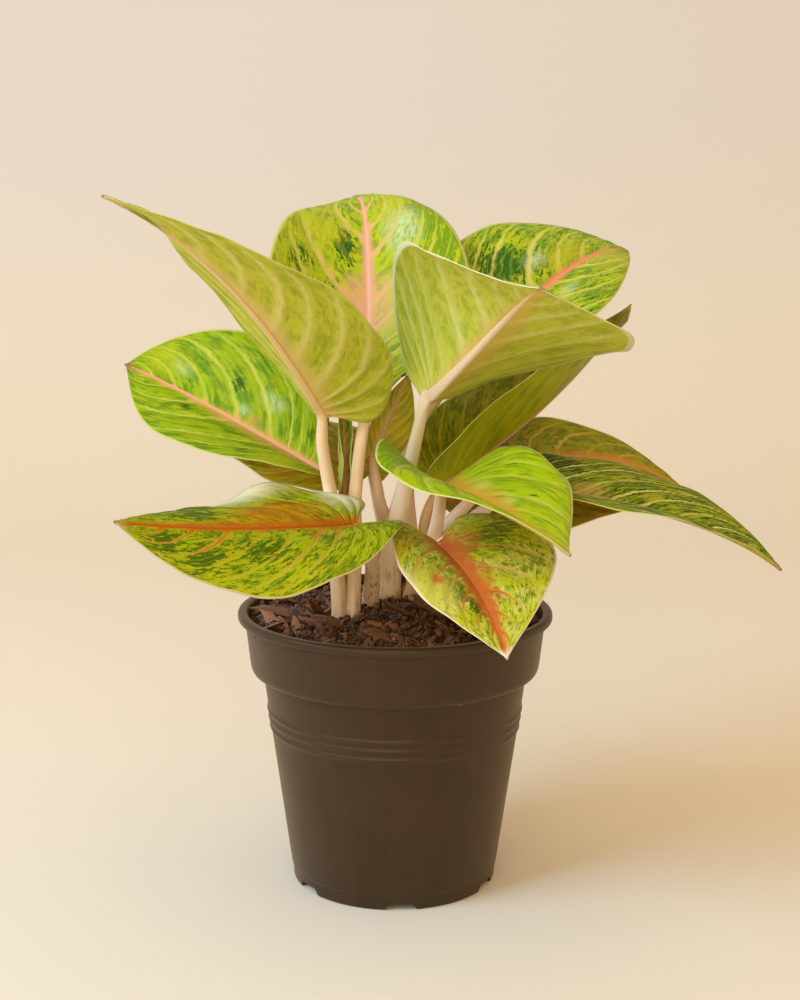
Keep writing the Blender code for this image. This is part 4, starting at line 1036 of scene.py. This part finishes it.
def makeMound(material):
    # a grid stretched to a disc, roughened, with its border carried down inside the pot
    piece, places = newGrid(mix["cells"], mix["cells"], 2)
    wall = innerWall(mix["edge"], mix["gap"])
    u, v = places[:, 0], places[:, 1]
    x = u * np.sqrt(1 - v * v / 2) * wall[0][0]
    y = v * np.sqrt(1 - u * u / 2) * wall[0][0]
    setPlaces(piece, np.stack([x, y, mixHeight(x, y)], -1) * mm)
    for size, strength in displacements:
        texture = bpy.data.textures.new("crumble", "CLOUDS")
        texture.noise_scale = size
        useModifier(piece, "DISPLACE", texture=texture, direction="Z", mid_level=0.5,
                    strength=strength * mm, texture_coords="LOCAL")

    def carryDown():
        bpy.ops.mesh.select_all(action="DESELECT")
        bpy.ops.mesh.select_non_manifold()
        for (r, z, _), (nextR, nextZ, _) in zip(wall, wall[1:-1]):
            down = {"value": (0, 0, (nextZ - z) * mm)}
            bpy.ops.mesh.extrude_region_move(TRANSFORM_OT_translate=down)
            bpy.ops.transform.resize(value=(nextR / r, nextR / r, 1), center_override=(0, 0, 0))
        bpy.ops.mesh.edge_face_add()
        bpy.ops.mesh.select_all(action="SELECT")

    editMesh(piece, carryDown, faceOut)
    piece.data.shade_smooth()
    return finishPiece(piece, "mix_mound", [material], ["soil"])


def groundAt(mound, x, y):
    hit, place, _, _ = mound.ray_cast(Vector((x, y, 200)) * mm, Vector((0, 0, -1)))
    return place.z / mm if hit else mix["edge"]


def turned(heading, tilt, lean):
    # a piece's turn on the ground, then its tilt and lean
    angles = [math.radians(a) for a in (heading, tilt, lean)]
    turns = [Matrix.Rotation(a, 3, axis) for a, axis in zip(angles, "ZYX")]
    return np.array(turns[0] @ turns[1] @ turns[2])


def strew(pattern, poses, name, material):
    # copies of a pattern, (place, turn, size) each, as one piece; the pattern is removed
    verts = readPlaces(pattern)
    faces = [tuple(face.vertices) for face in pattern.data.polygons]
    count = len(verts)
    places = [(verts * size) @ np.array(pose).T + place for place, pose, size in poses]
    faces = [tuple(i + k * count for i in face) for k in range(len(poses)) for face in faces]
    mesh = bpy.data.meshes.new(name)
    mesh.from_pydata(np.vstack(places) * mm, [], faces)
    piece = bpy.data.objects.new(name, mesh)
    bpy.context.scene.collection.objects.link(piece)
    bpy.data.objects.remove(pattern)
    tints = np.random.default_rng(len(poses)).random(len(poses))
    addAttribute(piece, "tint", "FLOAT", np.repeat(tints, count))
    finishPiece(piece, name, [material], ["soil"])


def scatter(rng, count, clear):
    # spots in the pot that keep clear of every stalk's foot
    feet = np.array([leaf["foot"] for leaf in leafShapes.values()])
    spots = []
    while len(spots) < count:
        r, angle = (mix["field"] - clear) * rng.random() ** 0.5, rng.uniform(0, turn)
        spot = np.array([r * math.cos(angle), r * math.sin(angle)])
        if np.linalg.norm(feet - spot, axis=1).min() > stalk["footRadius"] + clear:
            spots.append(spot)
    return spots


def barkPattern(seed):
    # a flat splinter, ridged along its grain, with ragged ends; one unit long
    rng = np.random.default_rng(seed)
    pattern, places = newGrid(7, 3)
    ragged = rng.uniform(-0.16, 0.16, 4)[np.rint((places[:, 1] + 0.5) * 3).astype(int)]
    narrow = rng.uniform(0.35, 0.9, 2)
    end = places[:, 0] + 0.5
    places[:, 0] += ragged * np.abs(places[:, 0]) * 2
    places[:, 1] *= 1 - (1 - narrow[0] * (1 - end) - narrow[1] * end) * np.abs(2 * end - 1)
    places[:, 1] += 0.12 * np.sin(end * 3 + rng.uniform(0, 6))
    places[:, 2] = 0.35 * rng.uniform(-1, 1, len(places)) + 0.8 * np.sin(end * 3.1)
    setPlaces(pattern, places)
    editMesh(pattern, faceOut)
    useModifier(pattern, "SOLIDIFY", thickness=1.0, offset=0)
    return pattern


def strewBark(rng, mound, skin):
    big = []
    for x, y, length, width, thickness, heading, tilt, lean in barkBig:
        place = (x, y, groundAt(mound, x, y) + bark["bigLift"])
        big.append((place, turned(heading, tilt, lean), (length, width, thickness)))
    strew(barkPattern(1), big[::2], "mix_barkBroad", skin)
    strew(barkPattern(5), big[1::2], "mix_barkLong", skin)
    for group in range(bark["groups"]):
        small = []
        for x, y in scatter(rng, bark["count"] // bark["groups"], bark["clear"]):
            length = rng.uniform(*bark["length"]) * rng.uniform(*bark["shorten"])
            tilt, lean = rng.uniform(-bark["tilt"], bark["tilt"], 2)
            width, thickness = (length * rng.uniform(*bark[key]) for key in ("width", "thickness"))
            place = (x, y, groundAt(mound, x, y) + rng.uniform(*bark["lift"]))
            way = turned(rng.uniform(0, 360), tilt, lean)
            small.append((place, way, (length, width, thickness)))
        strew(barkPattern(11 + group), small, "mix_barkSmall" + str(group), skin)


def strewLumps(rng, mound, name, kind, skin):
    selectOnly()
    bpy.ops.mesh.primitive_ico_sphere_add(subdivisions=1, radius=1)
    pattern = bpy.context.object
    places = readPlaces(pattern)
    setPlaces(pattern, places * rng.uniform(*lumpShape["rough"], (len(places), 1)))
    poses = []
    for x, y in scatter(rng, kind["count"], lumpShape["clear"]):
        size = rng.uniform(*kind["size"]) * rng.uniform(*lumpShape["shrink"])
        place = (x, y, groundAt(mound, x, y) + rng.uniform(*lumpShape["lift"]) * size)
        flat = (1, rng.uniform(*lumpShape["broad"]), rng.uniform(*lumpShape["high"]))
        poses.append((place, turned(*rng.uniform(0, 360, 3)), np.array(flat) * size))
    strew(pattern, poses, name, skin)


def layRootlets(rng, mound, skin):
    threads = []
    for x, y in scatter(rng, rootlets["count"], rootlets["clear"]):
        length, heading = rng.uniform(*rootlets["length"]), rng.uniform(0, turn)
        bend, arch = rng.uniform(-rootlets["bend"], rootlets["bend"]), rng.uniform(*rootlets["arch"])
        points, at = [], np.array([x, y])
        for k in range(rootlets["steps"]):
            part = k / (rootlets["steps"] - 1)
            if np.hypot(*at) > mix["field"]:
                break
            lift = arch * math.sin(math.pi * part) - rootlets["sunk"]
            points.append((*at, groundAt(mound, *at) + lift))
            way = heading + bend * part
            at = at + np.array([math.cos(way), math.sin(way)]) * length / rootlets["steps"]
        if len(points) < 4:
            continue
        path = smoothPath(points, rootlets["rings"])[0]
        radii = rootlets["radius"] * rng.uniform(*rootlets["thicken"])
        radii = radii * np.linspace(1, rootlets["taper"], len(path))
        thread = layTube(path, radii, rootlets["sides"])[0]
        editMesh(thread, weld, closeEnds, faceOut)
        threads.append(thread)
    roots = joinPieces(threads)
    roots.data.shade_smooth()
    finishPiece(roots, "mix_rootlets", [skin], ["soil"])


def mixSkin():
    s = Shading("peatMound")
    place = s.place()
    fine = s.noise(place, 1100, 3, 0.6)
    s.colour = (0.022, 0.010, 0.005)
    s.over(s.band(s.noise(place, 260, 4, 0.65), 0.38, 0.62), (0.17, 0.074, 0.036))
    s.over(s.band(fine, 0.54, 0.66), (0.38, 0.20, 0.11), 0.8)
    return s.finish(0.92, fine, 0.0006)


def strewnSkin(name, dark, light, pale, roughness, scale, height):
    # each copy takes its own tone from dark to light, with pale flecks
    s = Shading(name)
    tint = s.attribute("tint").outputs["Fac"]
    grain = s.noise(s.place(), scale, 3, 0.6)
    s.colour = dark
    s.over(s.scaled(grain, 0.6, s.scaled(tint, 0.9, -0.25)), light)
    s.over(s.band(grain, 0.6, 0.75), pale, 0.5)
    return s.finish(roughness, grain, height)


def rootSkin():
    s = Shading("rootletSkin")
    s.colour = (0.16, 0.09, 0.045)
    s.over(s.noise(s.place(), 300, 2), (0.50, 0.36, 0.22))
    return s.finish(0.7)


print("pot")
makePot(potPlastic())
print("potting mix")
mound = makeMound(mixSkin())
rng = np.random.default_rng(mix["seed"])
strewBark(rng, mound, strewnSkin("barkSkin", (0.020, 0.008, 0.004), (0.34, 0.135, 0.058),
                                 (0.60, 0.36, 0.20), 0.7, 700, 0.0004))
strewLumps(rng, mound, "mix_crumbs", crumbs,
           strewnSkin("crumbSkin", (0.012, 0.005, 0.0025), (0.24, 0.10, 0.045),
                      (0.46, 0.26, 0.14), 0.85, 1200, 0.0004))
strewLumps(rng, mound, "mix_grit", grit,
           strewnSkin("perliteSkin", (0.50, 0.42, 0.32), (0.88, 0.84, 0.76),
                      (0.95, 0.92, 0.88), 0.7, 900, 0.0002))
layRootlets(rng, mound, rootSkin())

# Camera, floor and light
view = dict(place=(0.0022, -0.8777, 0.3655), pitch=10.46, roll=0.3, lens=61.78)
# the paper sweep rises behind the plant; its colour turns to the cooler, darker wall tone by wallHeight,
# painted light for the upright part
studio = dict(floor=(0.84, 0.75, 0.60), wall=(0.75, 0.71, 0.645), wallHeight=0.5, size=6.0,
              front=1.2, flat=2.1, bend=0.9, aim=0.15, keyPlace=(-1.5, -0.95, 1.4), keySize=1.1,
              keyPower=42, keyTint=(0.42, 0.68, 1.0), fillPlace=(-0.3, -2.2, 0.8), fillSize=1.6,
              fillPower=16, fillTint=(1.0, 0.85, 0.66), sky=(0.84, 0.66, 0.45))


def makeCamera():
    camera = bpy.data.objects.new("camera", bpy.data.cameras.new("camera"))
    bpy.context.scene.collection.objects.link(camera)
    pitch, roll = math.radians(view["pitch"]), math.radians(view["roll"])
    back = Vector((0, -math.cos(pitch), math.sin(pitch)))
    up = Vector((0, math.sin(pitch), math.cos(pitch)))
    right = Vector((1, 0, 0))
    tiltedRight = right * math.cos(roll) + up * math.sin(roll)
    tiltedUp = up * math.cos(roll) - right * math.sin(roll)
    camera.matrix_world = Matrix.Translation(view["place"]) @ Matrix(
        (tiltedRight, tiltedUp, back)).transposed().to_4x4()
    camera.data.lens = view["lens"]
    camera.data.sensor_width = 36
    bpy.context.scene.camera = camera


def makeLight(name, place, size, power, tint):
    light = bpy.data.objects.new(name, bpy.data.lights.new(name, "AREA"))
    bpy.context.scene.collection.objects.link(light)
    light.data.size = size
    light.data.energy = power
    light.data.color = tint
    light.matrix_world = Matrix.Translation(place) @ (
        Vector(place) - Vector((0, 0, studio["aim"]))).to_track_quat("Z", "Y").to_matrix().to_4x4()


def makeFloor():
    floor, places = newGrid(2, 80, studio["size"])
    flat, radius = studio["flat"], studio["bend"]
    along = places[:, 1] + studio["size"] / 2
    bend = np.clip((along - flat) / radius, 0, math.pi / 2)
    rest = np.maximum(along - flat - radius * math.pi / 2, 0)
    places[:, 1] = np.minimum(along, flat) + radius * np.sin(bend) - studio["front"]
    places[:, 2] = radius * (1 - np.cos(bend)) + rest
    setPlaces(floor, places)
    floor.name = "studioFloor"
    s = Shading("paperSweep")
    s.colour = studio["floor"]
    # painted light: the sweep's colour grows cooler and darker with height
    s.over(s.band(s.split(s.place())[2], 0.0, studio["wallHeight"]), studio["wall"])
    floor.data.materials.append(s.finish(0.9, Specular_IOR_Level=0.1))
    floor.data.shade_smooth()


print("studio")
makeCamera()
makeFloor()
makeLight("keyLight", *(studio["key" + part] for part in ("Place", "Size", "Power", "Tint")))
makeLight("fillLight", *(studio["fill" + part] for part in ("Place", "Size", "Power", "Tint")))
world = bpy.data.worlds.new("studioAir")
world.use_nodes = True
world.node_tree.nodes["Background"].inputs["Color"].default_value = (*studio["sky"], 1)
bpy.context.scene.world = world
bpy.context.scene.view_settings.view_transform = "Standard"
